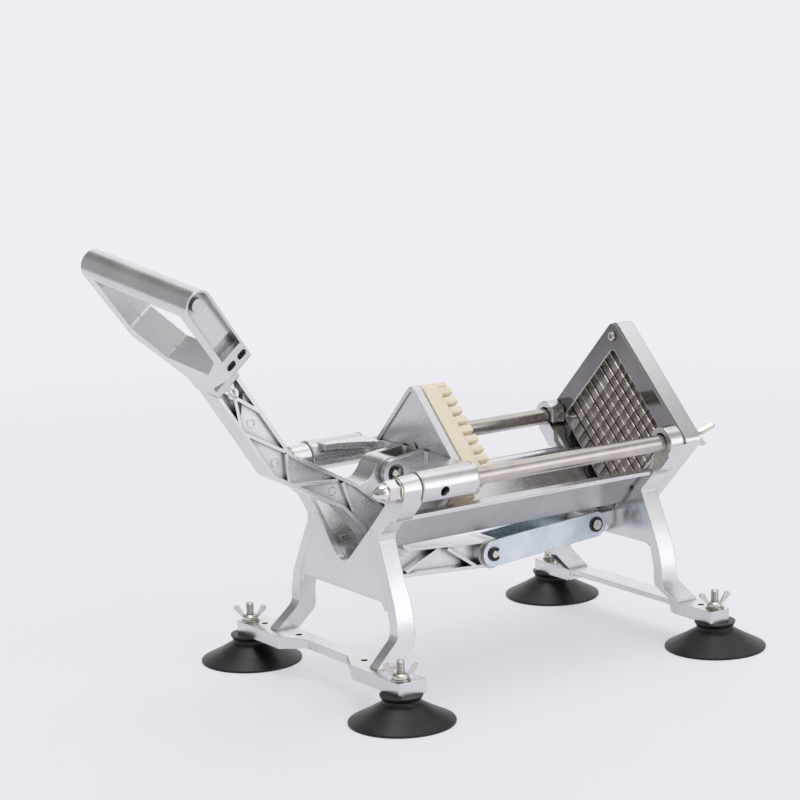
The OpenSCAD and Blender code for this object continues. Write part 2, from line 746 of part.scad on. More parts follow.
// Wing nut that stands on z = 0
module wing_nut() {
    hub_h = stud_rise * 0.27;
    hub_r = foot_washer_d * 0.42;
    wing_t = 2.2;
    difference() {
        union() {
            rotate_extrude() polygon(rounded([[0, 0, 0], [hub_r, 0, 0], [hub_r, hub_h * 0.6, over],
                [hub_r * 0.7, hub_h, over], [0, hub_h, 0]]));
            for (a = [0, 180]) rotate([0, 0, a]) along_y(-wing_t / 2, wing_t / 2) polygon(rounded([
                [hub_r * 0.65, over, 0], [hub_r * 0.95, hub_h * 0.4, over],
                [wing_span / 2, stud_rise * 0.68, wing_r], [wing_span / 2 - stud_d * 0.9, stud_rise * 0.79, edge_r],
                [hub_r * 0.8, hub_h * 0.8, over], [hub_r * 0.65, hub_h * 0.7, 0]]));
        }
        translate([0, 0, -over]) cylinder(h = stud_rise, r = stud_d / 2);
    }
}

nut_angles = [-38, -38, -20, 24];

module wing_nuts() color(zinc_col) for (i = [0:3])
    translate([i < 2 ? 0 : cup_spacing_x, (i % 2 == 0 ? -1 : 1) * foot_y, bar_top + foot_washer_t])
        rotate([0, 0, nut_angles[i]]) wing_nut();

module clevis_arm() {
    along_y(clevis_in, clevis_out) union() {
        translate(clevis) circle(r = clevis_arm_r);
        polygon([clevis + [0, clevis_arm_r], [pusher_x + over, rod_z + clevis_arm_r + over],
            [pusher_x + over, rod_z - clevis_arm_r - rim_t / 4], clevis + [0, -clevis_arm_r]]);
    }
}

// Inner edge of a shelf: shares of sleeve_l and of rod_y, from the front to the pusher plate
shelf_shares = [[0.155, 0.767], [0.376, 0.767], [0.577, 0.699], [0.748, 0.640], [0.851, 0.575], [1, 0.520]];

module shelf() {
    inner = [for (s = shelf_shares) [sleeve_x0 + s.x * sleeve_l, s.y * rod_y]];
    last = inner[len(inner) - 1];
    translate([0, 0, shelf_top - shelf_t]) linear_extrude(shelf_t) {
        polygon(concat([[inner[0].x, rod_y]], inner, [[pusher_x1 - over, last.y],
            [pusher_x1 - over, last.y + over], [pusher_x, last.y + rim_t], [sleeve_x1, rod_y]]));
        polygon([[pusher_x - 2 * shelf_t, clevis_out - over], [pusher_x + over, clevis_out - over],
            [pusher_x + over, clevis_out + 3 * shelf_t], [pusher_x - 2 * shelf_t, clevis_out + over]]);
    }
}

module pusher_carriage() color(cast_col) {
    recess = 1.2;
    lip = 3;
    hole_r = 3.75;
    difference() {
        union() {
            along_x(pusher_x, pusher_x1) diamond(pusher_half, corner_r);
            both_sides() {
                rod_x(sleeve_x0, sleeve_x1, sleeve_r, rod_y, rod_z);
                clevis_arm();
                shelf();
            }
        }
        along_x(pusher_x - over, pusher_x + recess) intersection() {
            diamond(pusher_half - lip * root2, corner_r - lip / 2);
            translate([-pusher_half, shelf_top]) square([2 * pusher_half, pusher_half]);
        }
        both_sides() {
            rod_x(sleeve_x0 - over, sleeve_x1 + over, rod_r + bolt_gap, rod_y, rod_z);
            rod_x(sleeve_x0 - over, sleeve_x0 + bush_l, bush_r, rod_y, rod_z);
            rod_x(sleeve_x1 - bush_l, sleeve_x1 + over, bush_r, rod_y, rod_z);
            pin_y([sleeve_x0 + sleeve_l * 0.386, rod_z - hole_r], rod_y, rod_y + sleeve_d, hole_r);
            pin_y(clevis, clevis_in - over, clevis_out + over, pivot_r);
            pin_y(clevis, clevis_out - clevis_bore_t, clevis_out + over, clip_r + over);
        }
        for (s = [-1, 1]) rod_x(pusher_x - over, pusher_x1 + over, screw_r, 0, rod_z + s * half_w);
    }
}

module slide_bushes() color(ivory_col) both_sides()
    for (x = [sleeve_x0, sleeve_x1 - bush_l]) difference() {
        rod_x(x, x + bush_l, bush_r, rod_y, rod_z);
        rod_x(x - over, x + bush_l + over, rod_r + run_gap, rod_y, rod_z);
    }

// Side view of the pins as a comb, cut down to the body between the teeth
module comb() {
    tip = 1.2;
    n = blade_count + 1;
    width = blade_pitch * blade_count + pin_w;
    translate([-width / 2, pusher_x1]) square([width, block_t]);
    for (k = [0:n - 1]) translate([(k - (n - 1) / 2) * blade_pitch, 0]) polygon([
        [-pin_w / 2, block_x1 - over], [pin_w / 2, block_x1 - over], [pin_w / 2, pin_tip_x - tip],
        [pin_w / 2 - tip, pin_tip_x], [tip - pin_w / 2, pin_tip_x], [-pin_w / 2, pin_tip_x - tip]]);
}

module comb_block() {
    width = blade_pitch * blade_count + pin_w;
    translate([0, width / 2, rod_z]) rotate([90, 0, 0]) linear_extrude(width)
        rotate(-90) mirror([1, 0]) comb();
}

module pusher_pin_block() color(ivory_col) difference() {
    intersection() {
        turned(45) comb_block();
        turned(-45) comb_block();
    }
    for (s = [-1, 1]) rod_x(pusher_x1 - over, pusher_x + screw_l + over, screw_r, 0, rod_z + s * half_w);
    for (s = [-1, 1]) rod_x(pusher_x, pin_tip_x + over, rod_r + side_gap, s * rod_y, rod_z);
}

module block_screws() color(zinc_col) for (s = [-1, 1])
    translate([pusher_x, 0, rod_z + s * half_w]) pan_screw(screw_l);

module clip(at, y) {
    difference() {
        pin_y(at, y, y + clip_t, clip_r);
        pin_y(at, y - over, y + clip_t + over, pivot_r);
    }
}

module clevis_pin() color(zinc_col) pin_y(clevis, -clevis_out, clevis_out, pivot_r);

module clevis_clips() color(dark_col) both_sides() clip(clevis, clevis_out - clevis_bore_t);

// Line of the fillet between the upper arm and the clevis boss: shares of low_dx and low_dz
fillet_shares = [[-0.414, -0.022], [-0.328, -0.068], [-0.239, -0.039], [-0.184, 0.026], [-0.144, 0.108]];

// Stops of the arm's middle line, and half its width at each
arm_stops = [joint + unit(joint - bend) * arm_w, bend, knee, elbow, heel, low];
arm_halves = [arm_w, arm_w, arm_w - over, elbow_w, low_arm_w + over, low_arm_w] / 2;

function arm_normal(i) = let (d = unit(arm_stops[i + 1] - arm_stops[i])) [-d.y, d.x];
function arm_mitre(i) =
    i == 0 ? arm_normal(0)
        : i == len(arm_stops) - 1 ? arm_normal(i - 1)
        : (arm_normal(i - 1) + arm_normal(i)) / (1 + arm_normal(i - 1) * arm_normal(i));
function arm_side(s, inset) = [
    for (i = [0:len(arm_stops) - 1])
        let (p = arm_stops[i] + s * (arm_halves[i] - inset) * arm_mitre(i))
        [p.x, p.y, i == 0 || i == len(arm_stops) - 1 ? 0 : blend_r]
];

// Side view of the arm, drawn in by an inset for its hollows
module lever_outline(inset) {
    down = unit(elbow - clevis);
    side = [-down.y, down.x] * (clevis_boss_r * 0.9 - inset);
    polygon(rounded(concat(arm_side(1, inset), back(arm_side(-1, inset)))));
    polygon([clevis + side, elbow + side, elbow - side, clevis - side]);
    if (inset == 0) {
        polygon(concat([for (s = fillet_shares) stop(s)], [clevis, elbow, knee]));
        translate(low) circle(r = low_boss_r);
        translate(clevis) circle(r = clevis_boss_r);
    }
}

// Ends of the ribs on the lever's sides: shares of low_dx and low_dz from the clevis pin
rib_shares = [
    [-1.401, 0.612], [-1.013, 0.370], [-1.006, 0.352], [-0.991, 0.047], [-0.960, 0.036], [-0.526, 0.012],
    [-0.476, -0.019], [-0.388, -0.313], [0, 0], [-0.094, -0.919], [-0.060, -0.840], [0.120, -0.880],
    [0.119, -1.026], [0.438, -0.864], [0.549, -0.868], [0.837, -1.103]
];

// Ribs of the lever's sides, from stop to stop and across the arm
module lever_ribs() {
    for (i = [0:2:len(rib_shares) - 2]) rib(stop(rib_shares[i]), stop(rib_shares[i + 1]));
    run = bend - joint;
    cross = [-run.y, run.x] / norm(run) * arm_w / 2;
    rib(joint + run * 0.48 - cross, joint - run * 0.16 + cross);
    rib(joint + run * 0.48 + cross, joint - run * 0.16 - cross);
}

module lever_tongue(gap) {
    run = atan2(joint.y - bend.y, joint.x - bend.x);
    translate([joint.x, 0, joint.y]) rotate([0, -run, 0])
        translate([-tongue_root, -tongue_t / 2 - gap, -tongue_w / 2 - gap])
            cube([tongue_root + tongue_l + gap, tongue_t + 2 * gap, tongue_w + 2 * gap]);
}

module lever_arm() color(cast_col) difference() {
    union() {
        difference() {
            along_y(-half_w, half_w) lever_outline(0);
            for (y = [arm_web / 2, -half_w - over]) along_y(y, y + half_w + over - arm_web / 2) difference() {
                lever_outline(arm_rim);
                lever_ribs();
                translate(low) circle(r = low_boss_r);
                translate(clevis) circle(r = clevis_boss_r);
                translate(joint) circle(r = arm_w / 4);
            }
            grip_end_cut();
        }
        lever_tongue(0);
    }
    pin_y(clevis, -half_w - over, half_w + over, pivot_r + run_gap);
    pin_y(low, -half_w - over, half_w + over, pivot_r);
    bolt_places() translate([0, 0, -head_seat]) cylinder(h = screw_l, r = screw_r);
}

// The grip's own frame: across on X, its front face on Y, up on Z, with the bar's axis on X
module grip_frame() {
    translate(bar_mid) rotate([0, 90 - grip_tilt, 0]) rotate([grip_lean, 0, 0]) rotate([0, 0, 90]) children();
}

// Everything above the foot of the grip, where the arm ends
module grip_end_cut() {
    grip_frame() translate([-lever_w, -lever_w, -grip_reach]) cube(2 * lever_w);
}

// Places of the bolts through the grip's stem and the arm's tongue
module bolt_places() {
    run = atan2(joint.y - bend.y, joint.x - bend.x);
    translate([joint.x, 0, joint.y]) rotate([0, -run, 0])
        for (k = [0.3, 0.75]) translate([tongue_l * k, 0, 0]) children();
}

module grip_outline() {
    side = grip_half - over * 3;
    stem = stem_w / 2;
    foot = -grip_reach;
    neck = -0.896 * grip_reach;
    polygon(rounded([
        [grip_half, grip_r, 0], [grip_half, 0, 0], [side, -grip_side_h, edge_r], [stem, neck, blend_r],
        [stem, foot, edge_r / 2], [-stem, foot, edge_r / 2], [-stem, neck, blend_r], [-side, -grip_side_h, edge_r],
        [-grip_half, 0, 0], [-grip_half, grip_r, 0]]));
}

module grip_opening() {
    wall = 12;
    y = grip_half - wall;
    foot = 0.71 * grip_reach;
    knee_z = 0.49 * grip_reach;
    polygon(rounded([[y, grip_r, 0], [y, -knee_z, soft_r], [y * 0.5, -foot, soft_r], [-y * 0.5, -foot, soft_r],
        [-y, -knee_z, soft_r], [-y, grip_r, 0]]));
}

// Hollow, pockets and rivet on one side face of the grip
module grip_side_cut() {
    depth = 6;
    rim = 1.6;
    rivet_r = 5;
    pocket_r = 2.5;
    channel_h = grip_side_h * 0.76;
    translate([grip_half - depth, 0, 0]) rotate([90, 0, 90]) {
        linear_extrude(depth + over) difference() {
            union() {
                circle(r = half_w - rim);
                translate([rim - half_w, -channel_h]) square([lever_w - 2 * rim, channel_h]);
            }
            circle(r = rivet_r);
        }
        translate([0, 0, depth - over]) linear_extrude(edge_r) circle(r = rivet_r);
        for (k = [-1, 1]) translate([k * half_w / 2, -grip_side_h * 0.89, -depth])
            linear_extrude(3 * depth) union() {
                for (d = [-1, 1]) translate([d * rim, 0]) circle(r = pocket_r);
                square([2 * rim, 2 * pocket_r], center = true);
            }
    }
}

module lever_grip() color(cast_col) difference() {
    grip_frame() difference() {
        union() {
            intersection() {
                rotate([90, 0, 0]) translate([0, 0, -half_w]) linear_extrude(lever_w) difference() {
                    grip_outline();
                    grip_opening();
                }
                translate([-grip_l, 0, 0]) rotate([90, 0, 90]) linear_extrude(2 * grip_l) union() {
                    circle(r = half_w);
                    translate([-half_w, -grip_reach - over]) square([lever_w, grip_reach + over]);
                }
            }
            translate([-grip_half, 0, 0]) rotate([0, 90, 0]) cylinder(h = grip_l, r = grip_r);
        }
        for (m = [0, 1]) mirror([m, 0, 0]) grip_side_cut();
    }
    lever_tongue(tongue_gap);
    bolt_places() {
        translate([0, 0, -lever_w]) cylinder(h = lever_w, r = screw_r + bolt_gap);
        translate([0, 0, -lever_w]) cylinder(h = lever_w - head_seat, r = screw_head_r + bolt_gap);
    }
}

module grip_bolts() color(zinc_col) bolt_places()
    translate([0, 0, -head_seat]) rotate([0, -90, 0]) pan_screw(screw_l);

module low_pivot_pin() color(zinc_col) pin_y(low, -pin_out, pin_out, pivot_r);

module low_washers() color(zinc_col) both_sides() difference() {
    pin_y(low, half_w, half_w + low_washer_t, low_boss_r - over);
    pin_y(low, half_w - over, link_in, pivot_r);
}

module low_clips() color(dark_col) both_sides() clip(low, link_out + side_gap);

module link() color(blue_zinc_col) {
    along = unit(anchor - low);
    up = [-along.y, along.x];
    span = norm(anchor - low);
    w0 = 0.16 * span;
    w1 = 0.82 * span;
    difference() {
        union() {
            both_sides() along_y(link_in, link_out) limb(low, anchor, link_h);
            along_y(-link_in - over / 2, link_in + over / 2) polygon([
                low + along * w0 - up * link_h / 2, low + along * w1 - up * link_h / 2,
                low + along * w1 - up * (link_h / 2 - link_web_t), low + along * w0 - up * (link_h / 2 - link_web_t)]);
        }
        pin_y(low, -pin_out, pin_out, pivot_r + run_gap);
        pin_y(anchor, -pin_out, pin_out, pivot_r);
    }
}

module anchor_pin() color(zinc_col) pin_y(anchor, -lug_half, lug_half, pivot_r);

module anchor_studs() color(zinc_col) both_sides() pin_y(anchor, link_in, pin_out, pivot_r);

module anchor_clips() color(dark_col) both_sides() clip(anchor, link_out);

module place() translate([-mid_x, 0, 0]) children();

place() front_frame();
place() rear_frame();
place() trough();
place() guide_rod(1);  // guide_rod_left
place() guide_rod(-1);  // guide_rod_right
place() rod_acorn_nuts();
place() rod_washers();
place() blade_plate();
place() blades_rising();
place() blades_falling();
place() blade_screws();
place() blade_wing_bolts();
place() suction_cup(0, foot_y);  // suction_cup_front_left
place() suction_cup(0, -foot_y);  // suction_cup_front_right
place() suction_cup(cup_spacing_x, foot_y);  // suction_cup_rear_left
place() suction_cup(cup_spacing_x, -foot_y);  // suction_cup_rear_right
place() cup_studs();
place() foot_washers();
place() wing_nuts();
place() anchor_pin();
place() pusher_carriage();
place() slide_bushes();
place() pusher_pin_block();
place() block_screws();
place() clevis_pin();
place() clevis_clips();
place() lever_arm();
place() lever_grip();
place() grip_bolts();
place() low_pivot_pin();
place() low_washers();
place() low_clips();
place() link();
place() anchor_studs();
place() anchor_clips();
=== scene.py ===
import json
import math

import bmesh
import bpy
from mathutils import Matrix, Vector

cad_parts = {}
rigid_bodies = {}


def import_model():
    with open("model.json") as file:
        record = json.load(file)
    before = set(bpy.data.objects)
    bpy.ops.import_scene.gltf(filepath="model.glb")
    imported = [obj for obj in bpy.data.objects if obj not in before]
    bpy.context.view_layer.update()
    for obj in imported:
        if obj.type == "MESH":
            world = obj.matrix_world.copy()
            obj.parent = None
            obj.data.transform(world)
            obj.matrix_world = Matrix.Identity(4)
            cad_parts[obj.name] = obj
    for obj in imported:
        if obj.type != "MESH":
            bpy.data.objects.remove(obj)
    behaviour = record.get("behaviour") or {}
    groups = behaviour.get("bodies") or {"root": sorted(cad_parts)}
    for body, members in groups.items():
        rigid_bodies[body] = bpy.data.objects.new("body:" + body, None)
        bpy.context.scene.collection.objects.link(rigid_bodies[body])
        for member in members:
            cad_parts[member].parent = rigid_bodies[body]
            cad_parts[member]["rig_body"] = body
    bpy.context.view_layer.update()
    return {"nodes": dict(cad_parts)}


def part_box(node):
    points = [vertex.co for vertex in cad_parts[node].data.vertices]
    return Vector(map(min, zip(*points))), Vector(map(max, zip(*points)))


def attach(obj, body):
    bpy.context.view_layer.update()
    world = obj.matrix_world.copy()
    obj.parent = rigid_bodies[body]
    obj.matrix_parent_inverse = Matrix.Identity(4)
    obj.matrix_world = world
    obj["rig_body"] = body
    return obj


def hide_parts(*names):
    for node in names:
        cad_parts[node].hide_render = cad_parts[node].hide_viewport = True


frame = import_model()
mm = 0.001


def boxCentre(node):
    low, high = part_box(node)
    return (low + high) / 2


# Places on the machine, worked out from the CAD nodes
cupCorners = ("front_left", "front_right", "rear_left", "rear_right")
cupCentres = {corner: boxCentre("suction_cup_" + corner) for corner in cupCorners}
frontCupX = cupCentres["front_left"].x  # places along the machine are measured from this cup axis
leftRod = boxCentre("guide_rod_left") / mm
rodY, rodZ = round(leftRod.y, 2), round(leftRod.z, 2)  # the blade grid and the pin block are as high


def place(x, y, z):
    # A point of the machine in mm, x from the front cup axis
    return Vector((x * mm + frontCupX, y * mm, z * mm))


def alongX(u, v, w):
    # For an outline seen from the front, extruded along the rods
    return place(w, u, v)


def alongY(u, v, w):
    # For an outline seen from the side, extruded across the machine
    return place(u, w, v)


def aimOf(bearing, height):
    # The direction at a bearing and a height, both in degrees
    bearing, height = math.radians(bearing), math.radians(height)
    level = math.cos(height)
    return Vector((math.cos(bearing) * level, math.sin(bearing) * level, math.sin(height)))


# Camera: solved on the rods, the blade grid and the cups
camera = {
    "lens": 116.8,
    "sensor": 36.0,
    "far": 60,  # metres
    "place": (-0.9933, -1.5769, 0.5697),  # metres, x from the front cup axis
    "yaw": 55.843,
    "pitch": 10.708,
    "roll": -1.793,
}


def addCamera():
    ahead = aimOf(camera["yaw"], -camera["pitch"])
    level = ahead.cross(Vector((0, 0, 1))).normalized()
    rise = level.cross(ahead)
    roll = math.radians(camera["roll"])
    right = level * math.cos(roll) + rise * math.sin(roll)
    up = rise * math.cos(roll) - level * math.sin(roll)
    data = bpy.data.cameras.new("camera")
    data.lens = camera["lens"]
    data.sensor_width = camera["sensor"]
    data.clip_end = camera["far"]
    eye = bpy.data.objects.new("camera", data)
    turn = Matrix((right, up, -ahead)).transposed().to_4x4()
    spot = Vector(camera["place"]) + Vector((frontCupX, 0, 0))
    eye.matrix_world = Matrix.Translation(spot) @ turn
    bpy.context.scene.collection.objects.link(eye)
    bpy.context.scene.camera = eye
    print("camera placed")


# Small helpers for node trees
def startMaterial(name):
    mat = bpy.data.materials.new(name)
    mat.use_nodes = True
    tree = mat.node_tree
    tree.nodes.clear()
    out = tree.nodes.new("ShaderNodeOutputMaterial")
    shader = tree.nodes.new("ShaderNodeBsdfPrincipled")
    tree.links.new(shader.outputs[0], out.inputs["Surface"])
    return mat, tree, shader


def feed(tree, socket, value):
    # Links what comes from another node, and types in anything else
    if isinstance(value, bpy.types.NodeSocket):
        tree.links.new(value, socket)
    else:
        socket.default_value = value


def addNode(tree, kind, settings=None, **inputs):
    node = tree.nodes.new("ShaderNode" + kind)
    for key, value in (settings or {}).items():
        setattr(node, key, value)
    for key, value in inputs.items():
        feed(tree, node.inputs[key.replace("_", " ")], value)
    return node


def rangeAt(tree, value, low, high, toLow, toHigh, kind="LINEAR"):
    node = addNode(tree, "MapRange", {"clamp": True, "interpolation_type": kind})
    feed(tree, node.inputs["Value"], value)
    for key, number in zip(("From Min", "From Max", "To Min", "To Max"), (low, high, toLow, toHigh)):
        node.inputs[key].default_value = number
    return node.outputs["Result"]


def mathAt(tree, kind, first, second):
    node = addNode(tree, "Math", {"operation": kind})
    feed(tree, node.inputs[0], first)
    feed(tree, node.inputs[1], second)
    return node.outputs[0]


def mixAt(tree, share, first, second, blend="MIX"):
    # Mixes two colours, whose sockets come after those for numbers
    node = addNode(tree, "Mix", {"data_type": "RGBA", "blend_type": blend})
    feed(tree, node.inputs[0], share)
    feed(tree, node.inputs[6], first)
    feed(tree, node.inputs[7], second if isinstance(second, bpy.types.NodeSocket) else (*second, 1))
    return node.outputs[2]


def mixShaders(tree, share, first, second):
    node = addNode(tree, "MixShader", Fac=share)
    tree.links.new(first.outputs[0], node.inputs[1])
    tree.links.new(second.outputs[0], node.inputs[2])
    return node


def noiseAt(tree, spot, size, detail, stretch=(1, 1, 1)):
    scaled = addNode(tree, "Mapping", {"vector_type": "POINT"}, Vector=spot)
    scaled.inputs["Scale"].default_value = [share / size for share in stretch]
    return addNode(tree, "TexNoise", Vector=scaled.outputs[0], Scale=1.0, Detail=detail).outputs["Fac"]


# How the textures are read: noise stays near its middle, so only that part of it is spread out
spans = {
    "cloud": (0.3, 0.7),
    "grain": (0.35, 0.65),
    "edge": (0.995, 0.9),  # cosines between the flat face and its rounded normal
    "hollow": (0.25, 0.85),
}


def tonesAt(tree, value, dark, light, span=spans["cloud"]):
    node = addNode(tree, "ValToRGB", Fac=value)
    for element, at, colour in zip(node.color_ramp.elements, span, (dark, light)):
        element.position = at
        element.color = (*colour, 1)
    return node.outputs["Color"]


def softEdges(tree, radius):
    # A normal rounded at the edges, and a mask that is 1 on them, which places the painted edge highlight
    rounded = addNode(tree, "Bevel", {"samples": 4}, Radius=radius)
    flat = addNode(tree, "NewGeometry")
    dot = addNode(tree, "VectorMath", {"operation": "DOT_PRODUCT"})
    tree.links.new(rounded.outputs[0], dot.inputs[0])
    tree.links.new(flat.outputs["Normal"], dot.inputs[1])
    return rounded.outputs[0], rangeAt(tree, dot.outputs["Value"], *spans["edge"], 0.0, 1.0)


def hollowShade(tree, reach, darkest):
    # Painted shade: darkens the colour down in hollows and corners
    hollow = addNode(tree, "AmbientOcclusion", {"samples": 6}, Distance=reach)
    return rangeAt(tree, hollow.outputs["AO"], *spans["hollow"], darkest, 1.0)


def addBump(tree, shader, height, look, normal):
    strength, depth = look["bump"], look["bumpDepth"]
    bump = addNode(tree, "Bump", Strength=strength, Distance=depth, Height=height, Normal=normal)
    tree.links.new(bump.outputs[0], shader.inputs["Normal"])


# Metals: how much the grain changes the roughness, and what share of it the edges lose
metalGloss = {"grain": 0.05, "edgeShare": 0.3}


def metal(name, look):
    # A metal with a fine grain, cloudy patches, a painted highlight along its edges, painted shade in its
    # hollows where the look has it, and its own gloss
    mat, tree, shader = startMaterial(name)
    spot = addNode(tree, "TexCoord").outputs["Object"]
    shader.inputs["Metallic"].default_value = 1.0
    normal, edge = softEdges(tree, look["edge"])
    cloud = noiseAt(tree, spot, look["cloud"], 4.0)
    grain = noiseAt(tree, spot, look["grain"], 2.0, look.get("stretch", (1, 1, 1)))
    colour = tonesAt(tree, cloud, look["dark"], look["light"])
    tint = rangeAt(tree, grain, *spans["grain"], 0.0, look["grainTint"])
    colour = mixAt(tree, tint, colour, look["dark"], "MULTIPLY")
    # Painted highlight: the edges take a brighter colour
    colour = mixAt(tree, edge, colour, look["edgeHighlight"])
    # Painted shade: the colour darkens in hollows and corners
    if "hollow" in look:
        shade = hollowShade(tree, look["reach"], look["hollow"])
        grey = addNode(tree, "CombineColor", Red=shade, Green=shade, Blue=shade).outputs[0]
        colour = mixAt(tree, 1.0, colour, grey, "MULTIPLY")
    tree.links.new(colour, shader.inputs["Base Color"])
    low, high = look["roughness"]
    rough = rangeAt(tree, cloud, *spans["cloud"], low, high)
    change = rangeAt(tree, grain, *spans["cloud"], -metalGloss["grain"], metalGloss["grain"])
    rough = mathAt(tree, "ADD", rough, change)
    rough = mathAt(tree, "SUBTRACT", rough, mathAt(tree, "MULTIPLY", edge, low * metalGloss["edgeShare"]))
    tree.links.new(rough, shader.inputs["Roughness"])
    addBump(tree, shader, grain, look, normal)
    return mat


# In each metal look, the edge colour is a painted highlight along the edges, and hollow is the darkest share
# of the painted shade in hollows and corners, out to reach
castAluminium = {
    "edge": 0.8 * mm, "cloud": 34 * mm, "grain": 0.8 * mm, "grainTint": 0.07,
    "dark": (0.70, 0.695, 0.705), "light": (0.80, 0.795, 0.805), "edgeHighlight": (0.96, 0.96, 0.96),
    "roughness": (0.19, 0.29), "bump": 0.20, "bumpDepth": 0.15 * mm, "hollow": 0.36, "reach": 5.5 * mm,
}
# A darker copy of the cast finish, as painted shade on the trough's faces that look down
shadedAluminium = {
    **castAluminium, "dark": (0.46, 0.455, 0.465), "light": (0.62, 0.615, 0.625), "cloud": 60 * mm,
}
sandedAluminium = {
    **castAluminium, "grain": 0.6 * mm, "grainTint": 0.22, "roughness": (0.36, 0.46), "bump": 0.45,
}
groundSteel = {
    "edge": 0.3 * mm, "cloud": 12 * mm, "grain": 1.2 * mm, "grainTint": 0.18, "stretch": (12, 1, 1),
    "dark": (0.56, 0.52, 0.49), "light": (0.66, 0.62, 0.58), "edgeHighlight": (0.75, 0.72, 0.69),
    "roughness": (0.20, 0.28), "bump": 0.10, "bumpDepth": 0.05 * mm,
}
# Polished steel for the blade plate, whose dark colour is a painted reflection of dark surroundings
mirrorSteel = {
    "edge": 0.4 * mm, "cloud": 40 * mm, "grain": 2.0 * mm, "grainTint": 0.04,
    "dark": (0.20, 0.195, 0.20), "light": (0.26, 0.25, 0.25), "edgeHighlight": (0.60, 0.59, 0.59),
    "roughness": (0.05, 0.09), "bump": 0.02, "bumpDepth": 0.02 * mm,
}
stripSteel = {
    "edge": 0.15 * mm, "cloud": 5 * mm, "grain": 0.8 * mm, "grainTint": 0.30,
    "edgeHighlight": (0.92, 0.90, 0.87), "roughness": (0.22, 0.34), "bump": 0.12, "bumpDepth": 0.05 * mm,
}
bladeSteel = {
    **stripSteel, "dark": (0.26, 0.22, 0.20), "light": (0.49, 0.44, 0.40), "hollow": 0.35, "reach": 7 * mm,
}
# Pale steel as a painted highlight, on the front edges of some blades and about the plate's opening
highlightSteel = {
    **stripSteel, "dark": (0.80, 0.78, 0.75), "light": (0.92, 0.90, 0.88), "roughness": (0.12, 0.2),
}
# Near-black steel as painted shade on the front edges of the other blades
edgeShadeSteel = {
    **bladeSteel, "dark": (0.05, 0.045, 0.04), "light": (0.10, 0.09, 0.085), "edgeHighlight": (0.3, 0.28, 0.26),
}
yellowZinc = {
    "edge": 0.35 * mm, "cloud": 6 * mm, "grain": 0.5 * mm, "grainTint": 0.12,
    "dark": (0.66, 0.65, 0.58), "light": (0.80, 0.79, 0.73), "edgeHighlight": (0.93, 0.92, 0.88),
    "roughness": (0.18, 0.28), "bump": 0.12, "bumpDepth": 0.06 * mm, "hollow": 0.30, "reach": 5 * mm,
}
polishedNut = {
    **yellowZinc, "dark": (0.74, 0.73, 0.71), "light": (0.84, 0.83, 0.82), "roughness": (0.05, 0.10),
}
blueZinc = {
    "edge": 0.5 * mm, "cloud": 22 * mm, "grain": 1.5 * mm, "grainTint": 0.06,
    "dark": (0.58, 0.69, 0.77), "light": (0.80, 0.86, 0.88), "edgeHighlight": (0.88, 0.93, 0.96),
    "roughness": (0.24, 0.34), "bump": 0.08, "bumpDepth": 0.05 * mm, "hollow": 0.20, "reach": 16 * mm,
}
darkSpring = {
    **yellowZinc, "dark": (0.03, 0.03, 0.03), "light": (0.07, 0.068, 0.065), "edgeHighlight": (0.30, 0.30, 0.30),
}

ivory = {
    "deep": (0.95, 0.83, 0.65), "pale": (0.98, 0.88, 0.72), "cloud": 14 * mm, "roughness": (0.38, 0.5),
    "edge": 0.5 * mm, "edgeHighlight": (0.94, 0.88, 0.74), "edgeShare": 0.5,
    "through": 0.25, "throughReach": (2.0 * mm, 1.2 * mm, 0.6 * mm),
    "fine": 0.8 * mm, "bump": 0.12, "bumpDepth": 0.05 * mm,
}


def ivoryPlastic():
    # A smooth plastic that lets a little light through, with a painted highlight along its edges
    mat, tree, shader = startMaterial("ivoryPlastic")
    spot = addNode(tree, "TexCoord").outputs["Object"]
    normal, edge = softEdges(tree, ivory["edge"])
    cloud = noiseAt(tree, spot, ivory["cloud"], 3.0)
    colour = tonesAt(tree, cloud, ivory["deep"], ivory["pale"])
    # Painted highlight: a pale colour along the edges
    colour = mixAt(tree, mathAt(tree, "MULTIPLY", edge, ivory["edgeShare"]), colour, ivory["edgeHighlight"])
    tree.links.new(colour, shader.inputs["Base Color"])
    tree.links.new(rangeAt(tree, cloud, *spans["cloud"], *ivory["roughness"]), shader.inputs["Roughness"])
    shader.inputs["Subsurface Weight"].default_value = ivory["through"]
    shader.inputs["Subsurface Radius"].default_value = ivory["throughReach"]
    shader.inputs["Subsurface Scale"].default_value = 1.0
    addBump(tree, shader, noiseAt(tree, spot, ivory["fine"], 2.0), ivory, normal)
    return mat


rubber = {
    "base": (0.006, 0.006, 0.008), "worn": (0.014, 0.014, 0.017), "cloud": 14 * mm, "cloudSpan": (0.35, 0.75),
    "edge": 0.4 * mm, "edgeHighlight": (0.11, 0.11, 0.12), "edgeShare": 0.35,
    "dust": (0.35, 0.35, 0.36), "dustStep": 4.5 * mm, "dustSize": (0.035, 0.06), "dustPatch": (0.5, 0.62),
    "roughness": (0.30, 0.42), "specular": 0.42, "fine": 0.7 * mm, "bump": 0.15, "bumpDepth": 0.05 * mm,
}


